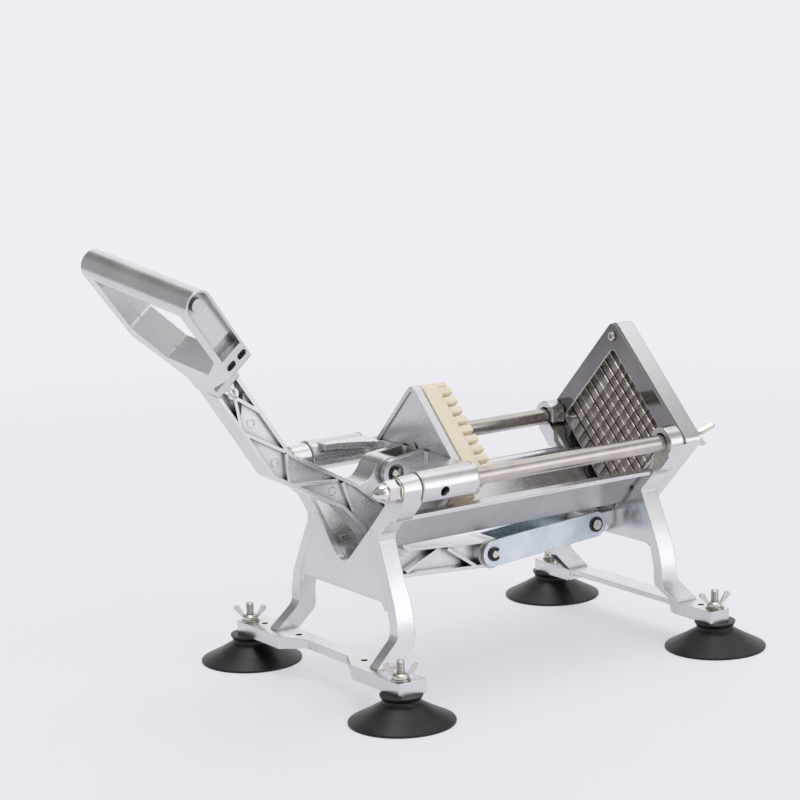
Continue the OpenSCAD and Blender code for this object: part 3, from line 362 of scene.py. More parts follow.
def blackRubber():
    # Black rubber with specks of dust in patches, and a painted highlight along its edges
    mat, tree, shader = startMaterial("blackRubber")
    spot = addNode(tree, "TexCoord").outputs["Object"]
    normal, edge = softEdges(tree, rubber["edge"])
    cloud = noiseAt(tree, spot, rubber["cloud"], 4.0)
    dust = addNode(tree, "TexVoronoi", {"feature": "F1"}, Vector=spot, Scale=1 / rubber["dustStep"])
    fleck = rangeAt(tree, dust.outputs["Distance"], *rubber["dustSize"], 1.0, 0.0)
    fleck = mathAt(tree, "MULTIPLY", fleck, rangeAt(tree, cloud, *rubber["dustPatch"], 0.0, 1.0))
    colour = tonesAt(tree, cloud, rubber["base"], rubber["worn"], rubber["cloudSpan"])
    # Painted highlight: the edges take a lighter colour
    colour = mixAt(tree, mathAt(tree, "MULTIPLY", edge, rubber["edgeShare"]), colour, rubber["edgeHighlight"])
    colour = mixAt(tree, fleck, colour, rubber["dust"])
    tree.links.new(colour, shader.inputs["Base Color"])
    tree.links.new(rangeAt(tree, cloud, *spans["cloud"], *rubber["roughness"]), shader.inputs["Roughness"])
    shader.inputs["Specular IOR Level"].default_value = rubber["specular"]
    addBump(tree, shader, noiseAt(tree, spot, rubber["fine"], 2.0), rubber, normal)
    return mat


finishes = {
    "cast": metal("castAluminium", castAluminium),
    "sanded": metal("sandedAluminium", sandedAluminium),
    "shaded": metal("shadedAluminium", shadedAluminium),
    "rod": metal("groundSteel", groundSteel),
    "mirror": metal("mirrorSteel", mirrorSteel),
    "blade": metal("bladeSteel", bladeSteel),
    "bladeEdge": metal("highlightSteel", highlightSteel),
    "paintedEdgeShade": metal("edgeShadeSteel", edgeShadeSteel),
    "zinc": metal("yellowZinc", yellowZinc),
    "nut": metal("polishedNut", polishedNut),
    "blue": metal("blueZinc", blueZinc),
    "spring": metal("darkSpring", darkSpring),
    "ivory": ivoryPlastic(),
    "rubber": blackRubber(),
}

# Which finish each CAD node has
nodeFinish = {
    "cast": ["front_frame", "rear_frame", "trough", "pusher_carriage", "lever_arm", "lever_grip"],
    "rod": ["guide_rod_left", "guide_rod_right"],
    "mirror": ["blade_plate"],
    "blade": ["blades_rising", "blades_falling"],
    "zinc": [
        "rod_washers", "blade_screws", "blade_wing_bolts", "cup_studs", "foot_washers", "wing_nuts",
        "anchor_pin", "anchor_studs", "block_screws", "clevis_pin", "grip_bolts", "low_pivot_pin",
        "low_washers",
    ],
    "nut": ["rod_acorn_nuts"],
    "blue": ["link"],
    "spring": ["clevis_clips", "low_clips", "anchor_clips"],
    "ivory": ["slide_bushes", "pusher_pin_block"],
    "rubber": ["suction_cup_" + corner for corner in cupCorners],
}


def dressNodes():
    for finish, nodes in nodeFinish.items():
        for node in nodes:
            target = frame["nodes"][node]
            target.data.materials.clear()
            target.data.materials.append(finishes[finish])
    print("nodes dressed")


# Helpers for meshes, with outlines and profiles in mm
def smoothMesh(mesh, angle):
    # Smooth faces, with the edges sharper than the angle kept sharp
    work = bmesh.new()
    work.from_mesh(mesh)
    for face in work.faces:
        face.smooth = True
    for edge in work.edges:
        edge.smooth = len(edge.link_faces) == 2 and edge.calc_face_angle() < angle
    work.to_mesh(mesh)
    work.free()


def meshFrom(name, work):
    mesh = bpy.data.meshes.new(name)
    bmesh.ops.recalc_face_normals(work, faces=work.faces)
    work.to_mesh(mesh)
    work.free()
    return mesh


def addPiece(name, mesh, finish, body, angle=35, replaces=()):
    # Puts a mesh in the scene with its finish, or a list of finishes that its faces pick from
    keys = finish if isinstance(finish, list) else [finish]
    smoothMesh(mesh, math.radians(angle))
    piece = bpy.data.objects.new(name, mesh)
    bpy.context.scene.collection.objects.link(piece)
    for key in keys:
        mesh.materials.append(finishes[key])
    normals = piece.modifiers.new("normals", "WEIGHTED_NORMAL")
    normals.keep_sharp = True
    for node in replaces:
        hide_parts(node)
    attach(piece, body)
    return piece


def ringFrame(axis):
    # The axis and two directions across it, each of length 1
    axis = Vector(axis).normalized()
    side = axis.orthogonal().normalized()
    return axis, side, axis.cross(side)


def addLathe(work, profile, start, axis, segments=40):
    # Turns a profile of (distance along the axis, radius) about the axis
    axis, side, other = ringFrame(axis)
    rings = []
    for along, radius in profile:
        centre = start + axis * along * mm
        if radius <= 0:
            rings.append([work.verts.new(centre)])
            continue
        rings.append([
            work.verts.new(centre + (side * math.cos(turn) + other * math.sin(turn)) * radius * mm)
            for turn in (2 * math.pi * k / segments for k in range(segments))
        ])
    for low, high in zip(rings, rings[1:]):
        for k in range(segments):
            n = (k + 1) % segments
            corners = [low[k % len(low)], low[n % len(low)], high[n % len(high)], high[k % len(high)]]
            corners = list(dict.fromkeys(corners))
            if len(corners) > 2:
                work.faces.new(corners)


def addRing(work, centre, axis, radius, wire, segments=40, sides=8):
    # A torus, whose wire is given by its radius
    axis, side, other = ringFrame(axis)
    rows = []
    for k in range(segments):
        turn = 2 * math.pi * k / segments
        out = side * math.cos(turn) + other * math.sin(turn)
        row = []
        for j in range(sides):
            roll = 2 * math.pi * j / sides
            rim = centre + out * (radius + wire * math.cos(roll)) * mm
            row.append(work.verts.new(rim + axis * wire * math.sin(roll) * mm))
        rows.append(row)
    for k in range(segments):
        for j in range(sides):
            n, m = (k + 1) % segments, (j + 1) % sides
            work.faces.new((rows[k][j], rows[n][j], rows[n][m], rows[k][m]))


def addPrism(work, outline, toPoint, low, high, bevel=0.0):
    # Extrudes an outline from low to high; toPoint(u, v, w) gives the place
    def ring(w, inset):
        points = insetOutline(outline, inset) if inset else outline
        return [work.verts.new(toPoint(u, v, w)) for u, v in points]

    if bevel:
        levels = [ring(low, bevel), ring(low + bevel, 0), ring(high - bevel, 0), ring(high, bevel)]
    else:
        levels = [ring(low, 0), ring(high, 0)]
    for first, second in zip(levels, levels[1:]):
        for k in range(len(outline)):
            n = (k + 1) % len(outline)
            work.faces.new((first[k], first[n], second[n], second[k]))
    for level in (levels[0], levels[-1]):
        work.faces.new(level)


sharpCorner = 0.5  # keeps an inset short where an outline turns sharply


def insetOutline(points, inset):
    result = []
    count = len(points)
    area = sum(x * nextY - nextX * y for (x, y), (nextX, nextY) in zip(points, points[1:] + points[:1]))
    sign = 1 if area > 0 else -1
    for k in range(count):
        before, here, after = (Vector(points[(k + step) % count]) for step in (-1, 0, 1))
        first, second = (here - before).normalized(), (after - here).normalized()
        normal = Vector((-first.y - second.y, first.x + second.x)).normalized() * sign
        half = max(sharpCorner, abs(normal.dot(Vector((-first.y, first.x)))))
        result.append(tuple(here + normal * inset / half))
    return result


def roundOutline(points, radii, steps=6):
    # Rounds each corner of an outline by its own radius
    result = []
    count = len(points)
    for k, (point, radius) in enumerate(zip(points, radii)):
        here = Vector(point)
        if radius <= 0:
            result.append(tuple(here))
            continue
        first = (Vector(points[k - 1]) - here).normalized()
        second = (Vector(points[(k + 1) % count]) - here).normalized()
        half = first.angle(second) / 2
        centre = here + (first + second).normalized() * (radius / math.sin(half))
        start = here + first * (radius / math.tan(half)) - centre
        sweep = math.pi - 2 * half
        sign = 1 if start.x * (here - centre).y - start.y * (here - centre).x > 0 else -1
        for step in range(steps + 1):
            turn = sign * sweep * step / steps
            result.append((
                centre.x + start.x * math.cos(turn) - start.y * math.sin(turn),
                centre.y + start.x * math.sin(turn) + start.y * math.cos(turn),
            ))
    return result


def rectangle(left, right, low, high):
    return [(left, low), (right, low), (right, high), (left, high)]


def diamond(half):
    # A square that stands on its corner
    return [(0, half), (-half, 0), (0, -half), (half, 0)]


def cutMesh(name, mesh, cutters):
    whole = bpy.data.objects.new(name + "Whole", mesh)
    bpy.context.scene.collection.objects.link(whole)
    extras = [whole]
    for cutter in cutters:
        tool = bpy.data.objects.new(name + "Cutter", cutter)
        bpy.context.scene.collection.objects.link(tool)
        extras.append(tool)
        step = whole.modifiers.new("cut", "BOOLEAN")
        step.operation = "DIFFERENCE"
        step.solver = "EXACT"
        step.object = tool
    shown = whole.evaluated_get(bpy.context.evaluated_depsgraph_get())
    result = bpy.data.meshes.new_from_object(shown)
    for extra in extras:
        bpy.data.objects.remove(extra)
    return result


# CAD corners nearer than the weld become one, and so do facets flatter than this angle in degrees
cadClean = {"weld": 0.002 * mm, "flat": 0.4}


def refine(node, name, finish, angle=35, cutters=(), region=None):
    # A copy of a CAD node with clean smooth faces, cut by other meshes, that stands for the node
    source = frame["nodes"][node]
    flat = math.radians(cadClean["flat"])
    work = bmesh.new()
    work.from_mesh(source.data)
    bmesh.ops.remove_doubles(work, verts=work.verts, dist=cadClean["weld"])
    bmesh.ops.dissolve_limit(work, angle_limit=flat, verts=work.verts, edges=work.edges)
    mesh = bpy.data.meshes.new(name)
    work.to_mesh(mesh)
    work.free()
    if cutters:
        mesh = cutMesh(name, mesh, cutters)
    mesh.materials.clear()
    for face in mesh.polygons:
        face.material_index = region(face) if region else 0
    return addPiece(name, mesh, finish, source["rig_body"], angle, [node])


# Frames: the legs' sides are long curves on the real castings, so their normals are blended by height
legs = {
    "lean": [(30, 5.9), (45, 3.0), (60, 8.0), (75, 17.5), (96, 24.0), (117.5, 26.5)],  # mm up, degrees out
    "inside": 36,  # mm from the middle plane to the nearest leg
    "match": 0.95,  # cosine that tells the legs' sides from their other faces
    "smooth": 50,
}


def leanAt(height):
    for (low, first), (high, second) in zip(legs["lean"], legs["lean"][1:]):
        if low <= height <= high:
            return math.radians(first + (second - first) * (height - low) / (high - low))
    return None


def curveLegs(piece):
    mesh = piece.data
    bottom, top = legs["lean"][0][0], legs["lean"][-1][0]
    normals = [corner.vector.copy() for corner in mesh.corner_normals]
    for face in mesh.polygons:
        lean = leanAt(face.center.z / mm)
        if lean is None or abs(face.center.y) < legs["inside"] * mm:
            continue
        out = 1 if face.center.y > 0 else -1
        facing = face.normal.dot(Vector((0, out * math.cos(lean), math.sin(lean))))
        if abs(facing) < legs["match"]:
            continue
        side = 1 if facing > 0 else -1
        for k in face.loop_indices:
            height = mesh.vertices[mesh.loops[k].vertex_index].co.z / mm
            turn = leanAt(min(max(height, bottom), top))
            normals[k] = Vector((0, out * math.cos(turn), math.sin(turn))) * side
    piece.modifiers.clear()
    mesh.normals_split_custom_set(normals)


def addFrames():
    for node, name in (("front_frame", "frontCasting"), ("rear_frame", "rearCasting")):
        curveLegs(refine(node, name, "cast", legs["smooth"]))
    print("frames added")


# Trough: faces whose normal goes below this get painted shade, a darker copy of the cast finish
trough = {"down": -0.4}


def addTrough():
    def region(face):
        return 1 if face.normal.z < trough["down"] else 0

    refine("trough", "troughCasting", ["cast", "shaded"], region=region)
    print("trough added")


# Pusher: the small corners beside the clevis are cut back, and its arms join the plate with a fillet
clevisCut = {"x": (72, 86.96), "y": (17.32, 37.6), "z": (158, 176)}
clevisFillets = {
    "plate": 87.0, "faces": [(17.3, 1), (11.3, -1)], "reach": 2.0, "hollowShare": 0.3, "sunk": 0.2,
    "z": (152.0, 171.2),
}


def addPusher():
    cutters = []
    for side in (-1, 1):
        work = bmesh.new()
        inner, outer = (side * y for y in clevisCut["y"])
        addPrism(work, rectangle(inner, outer, *clevisCut["z"]), alongX, *clevisCut["x"])
        cutters.append(meshFrom("clevisCut", work))
    refine("pusher_carriage", "pusherCasting", "cast", cutters=cutters)
    work = bmesh.new()
    plate, reach, share, sunk = (clevisFillets[key] for key in ("plate", "reach", "hollowShare", "sunk"))
    for side in (-1, 1):
        for face, away in clevisFillets["faces"]:
            corner, tip = side * (face - away * sunk), side * (face + away * reach)
            middle = side * (face + away * reach * share)
            outline = [
                (plate + sunk, corner), (plate - reach, corner), (plate - reach, side * face),
                (plate - reach * share, middle), (plate, tip), (plate + sunk, tip),
            ]
            addPrism(work, outline, place, *clevisFillets["z"])
    addPiece("clevisFillets", meshFrom("clevisFillets", work), "cast", "pusher", 50)
    print("pusher added")


# Front web: it thickens towards the front with the legs, below the rods. The side goes down along a leg,
# the arch is between the legs, and the vee is under the trough
webFill = {
    "side": [(40.7, 125.0), (39.06, 123.4), (38.63, 117.5), (48.92, 96.1), (58.34, 74.95), (60.1, 68.5)],
    "foot": 68.5, "archHalf": 55.1, "archTop": 74.5, "archRadius": 6,
    "vee": (35.0, 125.0), "veeFoot": 90.0, "veeRadius": 14,
    "face": 22.0, "sunk": 0.4, "least": 19.55, "top": 125.03, "slope": 0.0499,
}


def addWebFill():
    half, vee = webFill["archHalf"], webFill["vee"]
    points = webFill["side"] + [(half, webFill["foot"]), (half, webFill["archTop"])]
    radii = [0] * (len(points) - 1) + [webFill["archRadius"]]
    points += [(-u, v) for u, v in points[::-1]] + [(-vee[0], vee[1]), (0, webFill["veeFoot"]), vee]
    radii += radii[::-1] + [0, webFill["veeRadius"], 0]

    def toPoint(u, v, w):
        slant = max(webFill["face"] - webFill["slope"] * (webFill["top"] - v), webFill["least"])
        return place(webFill["face"] + webFill["sunk"] if w else slant, u, v)

    work = bmesh.new()
    addPrism(work, roundOutline(points, radii), toPoint, 0, 1)
    addPiece("frontWeb", meshFrom("frontWeb", work), "cast", "frame", 30)
    print("front web added")


# Blades: strips in two layers, deeper than the CAD ones, each with its ground front edge. Those edges carry
# painted light: a painted highlight on the bright ones of the front layer, and painted shade on all the
# others
blades = {
    "pitch": 9, "count": 9, "thick": 0.6, "depth": 7.0, "start": 284.3, "gap": 0.2, "half": 48.5,
    "ground": 1.1, "edgeHalf": 0.08, "bright": (0, 3, 6),
}


def bladeLayer(name, node, lean, start, bright):
    cosine, sine = math.cos(math.radians(lean)), math.sin(math.radians(lean))
    half = blades["thick"] / 2
    levels = ((start, blades["edgeHalf"]), (start + blades["ground"], half), (start + blades["depth"], half))

    def toPoint(u, v, w):
        return place(w, u * cosine - v * sine, rodZ + u * sine + v * cosine)

    work = bmesh.new()
    for k in range(blades["count"]):
        offset = (k - (blades["count"] - 1) / 2) * blades["pitch"]
        # The front edge gets a painted highlight on the bright strips and painted shade on the others
        edgeHighlightOrShade = 1 if k in bright else 2
        rows = []
        for w, side in levels:
            corners = rectangle(-side, side, -blades["half"], blades["half"])
            rows.append([work.verts.new(toPoint(offset + u, v, w)) for u, v in corners])
        for level, (low, high) in enumerate(zip(rows, rows[1:])):
            for j in range(4):
                face = work.faces.new((low[j], low[(j + 1) % 4], high[(j + 1) % 4], high[j]))
                face.material_index = 0 if level else edgeHighlightOrShade
        work.faces.new(rows[0]).material_index = edgeHighlightOrShade
        work.faces.new(rows[-1])
    addPiece(name, meshFrom(name, work), ["blade", "bladeEdge", "paintedEdgeShade"], "frame", 20, [node])


def addBlades():
    second = blades["start"] + blades["depth"] + blades["gap"]
    bladeLayer("fallingStrips", "blades_falling", -45, blades["start"], blades["bright"])
    bladeLayer("risingStrips", "blades_rising", 45, second, ())
    print("blades added")


# Pin block: a plate on its corner with rows of blunt pins, smaller ones in its top and bottom corners
pinBlock = {
    "pitch": 9, "count": 10, "half": 61.6, "low": 94, "plate": 107.5, "tip": 118.3,
    "corner": 10, "sideCorner": 2, "edge": 0.6,
    "pin": 6.0, "pinCorner": 1.1, "pinEdge": 0.7, "pinRoot": 1.5,
    "cornerBand": 8, "cornerPinShare": 0.72, "cornerPlaceShare": 0.955,
}


def addPinBlock():
    work = bmesh.new()
    half, foot = pinBlock["half"], pinBlock["plate"] - pinBlock["pinRoot"]
    outline = roundOutline(diamond(half), [pinBlock["corner"], pinBlock["sideCorner"]] * 2)
    outline = [(u, v + rodZ) for u, v in outline]
    addPrism(work, outline, alongX, pinBlock["low"], pinBlock["plate"], bevel=pinBlock["edge"])
    root = math.sqrt(0.5)
    steps = [(k - (pinBlock["count"] - 1) / 2) * pinBlock["pitch"] for k in range(pinBlock["count"])]
    for a in steps:
        for b in steps:
            u, v = (a - b) * root, (a + b) * root
            size = pinBlock["pin"]
            if abs(v) > half - pinBlock["cornerBand"]:
                size, v = size * pinBlock["cornerPinShare"], v * pinBlock["cornerPlaceShare"]
            side = size / 2
            square = roundOutline(rectangle(side, -side, side, -side), [pinBlock["pinCorner"]] * 4, 3)
            square = [(u + (x - y) * root, v + (x + y) * root + rodZ) for x, y in square]
            addPrism(work, square, alongX, foot, pinBlock["tip"], bevel=pinBlock["pinEdge"])
    addPiece("pinBlock", meshFrom("pinBlock", work), "ivory", "pusher", 40, ["pusher_pin_block"])
    print("pin block added")


# Cup studs: a round head in the rubber, a plain shank and a thread up to a blunt point
studs = {
    "radius": 3.0, "root": 2.6, "pitch": 1.0, "foot": 10.92, "top": 46.0, "headRadius": 9.0, "headThick": 2.0,
    "shank": 19, "thread": 19.2, "point": 0.6, "threadEnd": 0.8,
    "turnShares": (0, 0.35, 0.6, 0.95),  # where a turn starts to rise, is full, starts to fall and is down
}


def threadProfile(start, end):
    radius, root, pitch = studs["radius"], studs["root"], studs["pitch"]
    profile = []
    at = start
    while at < end - pitch:
        for share, out in zip(studs["turnShares"], (root, radius, radius, root)):
            profile.append((at + pitch * share, out))
        at += pitch
    return profile


def addStuds():
    work = bmesh.new()
    radius, root, point = studs["radius"], studs["root"], studs["point"]
    rise = studs["top"] - studs["foot"]
    profile = [(0, 0), (0, studs["headRadius"]), (studs["headThick"], studs["headRadius"])]
    profile += [(studs["headThick"], radius), (studs["shank"], radius)]
    profile += threadProfile(studs["thread"], rise - studs["threadEnd"])
    profile += [(rise - point, root), (rise, root - point), (rise, 0)]
    for centre in cupCentres.values():
        addLathe(work, profile, Vector((centre.x, centre.y, studs["foot"] * mm)), (0, 0, 1), 28)
    addPiece("threadedStuds", meshFrom("threadedStuds", work), "zinc", "frame", 25, ["cup_studs"])
    print("studs added")


# Lever: raised panels between its ribs, round marks of the ejector pins and the boss where the ribs cross,
# places in mm on the plane of the lever
arm = {
    "stops": [(-91.7527, 261.214), (-35, 176.98), (22.51, 145.564), (51.04, 118.999)],
    "halves": [11, 11, 10.5, 13.5],
    "inset": 1.3, "rightStart": 37.0, "leftStart": 57.0,
    "web": 2.5, "panel": 7.5,
    "marks": [(-58.5, 211.4), (-40.0, 180.3), (8.3, 151.2), (39.5, 142.4)],
    "markRadius": 3.0, "markWire": 0.3,
    "boss": (-73.3, 235.2), "bossProfile": [(2.8, 5.4), (10.4, 4.8), (11.0, 4.3), (11.0, 0)],
}


def armEdge(side):
    # Points along one side of the lever, set in from its edge
    stops = [Vector(point) for point in arm["stops"]]
    edge = []
    for k, (stop, half) in enumerate(zip(stops, arm["halves"])):
        before = (stop - stops[k - 1]).normalized() if k else None
        after = (stops[k + 1] - stop).normalized() if k + 1 < len(stops) else None
        before, after = before or after, after or before
        normal = Vector((-(before.y + after.y), before.x + after.x)).normalized()
        reach = (half - arm["inset"]) / normal.dot(Vector((-after.y, after.x)))
        edge.append(stop + normal * side * reach)
    return edge


def addArm():
    refine("lever_arm", "leverCasting", "cast", 40)
    right, left = armEdge(1), armEdge(-1)
    right[0] += (right[1] - right[0]).normalized() * arm["rightStart"]
    left[0] += (left[1] - left[0]).normalized() * arm["leftStart"]
    outline = [tuple(point) for point in right + left[::-1]]
    for side, name in ((-1, "armPanelNear"), (1, "armPanelFar")):
        work = bmesh.new()
        low, high = sorted((side * arm["web"], side * arm["panel"]))
        addPrism(work, outline, alongY, low, high)
        for x, z in arm["marks"]:
            addRing(work, place(x, side * arm["panel"], z), (0, 1, 0), arm["markRadius"], arm["markWire"])
        x, z = arm["boss"]
        addLathe(work, arm["bossProfile"], place(x, 0, z), (0, side, 0), 32)
        addPiece(name, meshFrom(name, work), "cast", "lever")
    print("lever dressed")


# Grip: pockets in its sides, a sanded face all round its opening and a line left by the mould.
# Its own places, in mm, are measured from the middle of the bar, x along the bar and z away from the arm
grip = {
    "origin": (-146.107, -22.0386, 322.395), "turns": [(-40, "Y"), (12, "X"), (90, "Z")],
    "half": 60, "over": 2, "pocketHalf": 9.3, "pocket": (-49.0, -38.9), "pocketDeep": 10.6,
    "middle": -36, "openHalf": 49, "open": (-77, -8), "across": 0.5,
    "seam": [(47.9, 6), (47.9, -50), (46.5, -53.5), (26, -74), (22, -75.2)],
    "seamSection": [(-0.35, -0.1), (-0.2, 0.22), (0.2, 0.22), (0.35, -0.1)],
}


def gripMatrix():
    matrix = Matrix.Translation(place(*grip["origin"]))
    for angle, axis in grip["turns"]:
        matrix = matrix @ Matrix.Rotation(math.radians(angle), 4, axis)
    return matrix


gripFrame = gripMatrix()
gripTurn = gripFrame.to_3x3()


def gripPlace(x, y, z):
    return gripFrame @ (Vector((x, y, z)) * mm)


def alongBar(u, v, w):
    return gripPlace(w, u, v)


def gripRegion(face):
    # 1 for the faces that look at the middle of the opening
    normal = gripTurn.transposed() @ face.normal
    here = gripFrame.inverted() @ face.center
    low, high = grip["open"]
    inner = Vector((here.x, here.z - grip["middle"] * mm)).dot(Vector((normal.x, normal.z))) < 0
    inside = abs(here.x) < grip["openHalf"] * mm and low * mm < here.z < high * mm
    return 1 if inner and inside and abs(normal.y) < grip["across"] else 0


def addGripSeam():
    work = bmesh.new()
    middle = gripPlace(0, 0, grip["middle"])
    seam = grip["seam"] + [(-x, z) for x, z in grip["seam"][::-1]]
    points = [gripPlace(x, 0, z) for x, z in seam]
    across = gripTurn @ Vector((0, 1, 0))
    rows = []
    for k, point in enumerate(points):
        ahead = (points[min(k + 1, len(points) - 1)] - points[max(k - 1, 0)]).normalized()
        inward = across.cross(ahead).normalized()
        if inward.dot(middle - point) < 0:
            inward = -inward
        rows.append([
            work.verts.new(point + across * u * mm + inward * v * mm) for u, v in grip["seamSection"]
        ])
    for first, second in zip(rows, rows[1:]):
        for j in range(len(grip["seamSection"]) - 1):
            work.faces.new((first[j], first[j + 1], second[j + 1], second[j]))
    addPiece("gripSeam", meshFrom("gripSeam", work), "sanded", "lever", 30)


def addGrip():
    cutters = []
    for side in (-1, 1):
        work = bmesh.new()
        outline = rectangle(-grip["pocketHalf"], grip["pocketHalf"], *grip["pocket"])
        outside, bottom = grip["half"] + grip["over"], grip["half"] - grip["pocketDeep"]
        start, end = sorted((side * outside, side * bottom))
        addPrism(work, outline, alongBar, start, end)
        cutters.append(meshFrom("gripPocket", work))
    refine("lever_grip", "gripCasting", ["cast", "sanded"], 35, cutters, gripRegion)
    addGripSeam()
    print("grip dressed")


# Pivots: each pin has a neck near its ends, with a sprung clip in it
pivots = [
    {
        "name": "clevis", "pin": "clevis_pin", "clips": "clevis_clips", "body": "pusher",
        "at": (59.5, 158.5), "end": 16.9, "clip": 14.9,
    },
    {
        "name": "low", "pin": "low_pivot_pin", "clips": "low_clips", "body": "lever",
        "at": (149.5, 81.5), "end": 17.2, "clip": 15.3,
    },
]
pivotPin = {"radius": 4.0, "neck": 2.9, "shoulder": 1.6, "neckStart": 1.2, "edge": 0.5, "point": 0.6}
pivotClip = {
    "radius": 5.4, "thick": 0.9, "open": 35, "steps": 32, "fit": 0.05, "notch": 0.9,
    "notches": [(12, 15), (20, 23)],  # first and last step of each
}


def clipOutline():
    # An open ring, with notches in its inner side
    steps, start = pivotClip["steps"], pivotClip["open"]
    sweep = 360 - 2 * start
    outline = []
    for k in range(steps + 1):
        turn = math.radians(start + sweep * k / steps)
        outline.append((pivotClip["radius"] * math.cos(turn), pivotClip["radius"] * math.sin(turn)))
    for k in range(steps + 1):
        turn = math.radians(start + sweep - sweep * k / steps)
        notched = any(first <= k <= last for first, last in pivotClip["notches"])
        inner = pivotPin["neck"] + pivotClip["fit"] + (pivotClip["notch"] if notched else 0)
        outline.append((inner * math.cos(turn), inner * math.sin(turn)))
    return outline


def addPivots():
    radius, neck = pivotPin["radius"], pivotPin["neck"]
    for pivot in pivots:
        pins, clips = bmesh.new(), bmesh.new()
        x, z = pivot["at"]
        end, clip = pivot["end"], pivot["clip"]
        profile = [
            (0, radius), (clip - pivotPin["shoulder"], radius), (clip - pivotPin["neckStart"], neck),
            (end - pivotPin["edge"], neck), (end, neck - pivotPin["point"]), (end, 0),
        ]
        for side in (-1, 1):
            addLathe(pins, profile, place(x, 0, z), (0, side, 0), 32)
            centre = place(x, side * clip, z)
            low, high = sorted((0, side * pivotClip["thick"]))
            addPrism(clips, clipOutline(), lambda u, v, w: centre + Vector((u, w, v)) * mm, low, high)
        name, body = pivot["name"], pivot["body"]
        addPiece(name + "Pin", meshFrom("pin", pins), "zinc", body, replaces=[pivot["pin"]])
        addPiece(name + "Clips", meshFrom("clips", clips), "spring", body, replaces=[pivot["clips"]])
    print("pivots added")


# Rear lugs: a round ear about each rod, in front of the blade plate. Its ends dip below the rod by an angle
rearLug = {
    "radius": 12.3, "bore": 7.3, "dip": 20, "steps": 24, "front": 267.9, "back": 280.6, "inside": 62.4,
    "edge": 0.5,
}


def addLugs():
    work = bmesh.new()
    radius, bore, steps = rearLug["radius"], rearLug["bore"], rearLug["steps"]
    sweep = 180 + 2 * rearLug["dip"]
    for side in (-1, 1):
        outer, inner = [], []
        for k in range(steps + 1):
            turn = math.radians(90 + side * (sweep / 2 - sweep * k / steps))
            across = max(rodY + side * radius * math.cos(turn), rearLug["inside"])
            outer.append((side * across, rodZ + radius * math.sin(turn)))
            inner.append((side * rodY + bore * math.cos(turn), rodZ + bore * math.sin(turn)))
        addPrism(work, outer + inner[::-1], alongX, rearLug["front"], rearLug["back"], bevel=rearLug["edge"])
    addPiece("rearLugs", meshFrom("rearLugs", work), "cast", "frame")
    print("rear lugs added")


# Blade plate: a rim about its opening, from the plate's face back into the opening, in pale steel as a
# painted highlight, the bright line about the opening
plateRim = {
    "half": 64.35, "corner": 5, "wire": 0.45, "outShare": 0.2,
    "face": 281.0, "front": 280.9, "turned": 281.1, "back": 283.5,
}


def addPlateRim():
    work = bmesh.new()
    outline = roundOutline(diamond(plateRim["half"]), [plateRim["corner"]] * 4, 8)
    inner = insetOutline(outline, plateRim["wire"])
    outer = insetOutline(outline, -plateRim["wire"] * plateRim["outShare"])
    rows = [
        [work.verts.new(alongX(u, v + rodZ, plateRim[key])) for u, v in ring]
        for ring, key in ((outer, "face"), (outer, "front"), (inner, "turned"), (inner, "back"))
    ]
    for low, high in zip(rows, rows[1:]):
        for k in range(len(outline)):
            n = (k + 1) % len(outline)
            work.faces.new((low[k], low[n], high[n], high[k]))
    addPiece("openingRim", meshFrom("openingRim", work), "bladeEdge", "frame", 60)
    print("plate rim added")


# Lips at the ends of the pusher's sleeves and of the front bosses
lips = [
    {"x": 86.4, "radius": 11.5, "wire": 0.75, "body": "pusher"},
    {"x": 38.1, "radius": 11.8, "wire": 0.35, "body": "pusher"},
    {"x": 36.4, "radius": 9.4, "wire": 0.55, "body": "frame"},
    {"x": 28.6, "radius": 9.5, "wire": 0.25, "body": "frame"},
]


def addLips():
    for body in ("pusher", "frame"):
        work = bmesh.new()
        for lip in lips:
            if lip["body"] != body:
                continue
            for side in (-1, 1):
                centre = place(lip["x"], side * rodY, rodZ)
                addRing(work, centre, (1, 0, 0), lip["radius"], lip["wire"], 56)
        addPiece(body + "Lips", meshFrom("lips", work), "cast", body, 50)
    print("lips added")


# The front end of the trough is closed below, ahead of the slot for the lever
bridge = {"from": 31.9, "to": 52.0, "apex": 87.0, "thick": 3.0, "half": 21.8}


def addBridge():
    work = bmesh.new()
    half, apex, drop = bridge["half"], bridge["apex"], bridge["thick"] * math.sqrt(2)
    outline = [
        (-half, apex + half), (-half, apex + half - drop), (0, apex - drop),
        (half, apex + half - drop), (half, apex + half), (0, apex),
    ]
    addPrism(work, outline, alongX, bridge["from"], bridge["to"])
    addPiece("troughBridge", meshFrom("troughBridge", work), "cast", "frame", 20)
    print("trough bridge added")


# A rounded bead runs along the outer edge of each flange of the trough
flangeBead = {
    "from": 37.4, "to": 267.6, "y": 60.15, "z": 136.05, "radius": 0.8,
    "tip": 0.1, "taper": 0.5, "tipShare": 0.7,
}


def addBeads():
    work = bmesh.new()
    length, radius = flangeBead["to"] - flangeBead["from"], flangeBead["radius"]
    tip, taper, tipRadius = flangeBead["tip"], flangeBead["taper"], radius * flangeBead["tipShare"]
    profile = [(0, 0), (tip, tipRadius), (taper, radius)]
    profile += [(length - taper, radius), (length - tip, tipRadius), (length, 0)]
    for side in (-1, 1):
        start = place(flangeBead["from"], side * flangeBead["y"], flangeBead["z"])
        addLathe(work, profile, start, (1, 0, 0), 16)
    addPiece("flangeBeads", meshFrom("flangeBeads", work), "cast", "frame", 60)
    print("flange beads added")


# Screws behind the pusher plate: nearly flush heads with a small dimple in the middle
blockScrews = {
    "x": 87, "rise": 11, "end": 96.5, "shank": 2.0,
    "head": [(0.35, 0), (0.2, 0.9), (-0.05, 1.0), (-0.05, 3.6), (0.3, 3.6)], "neck": 2.0,
}


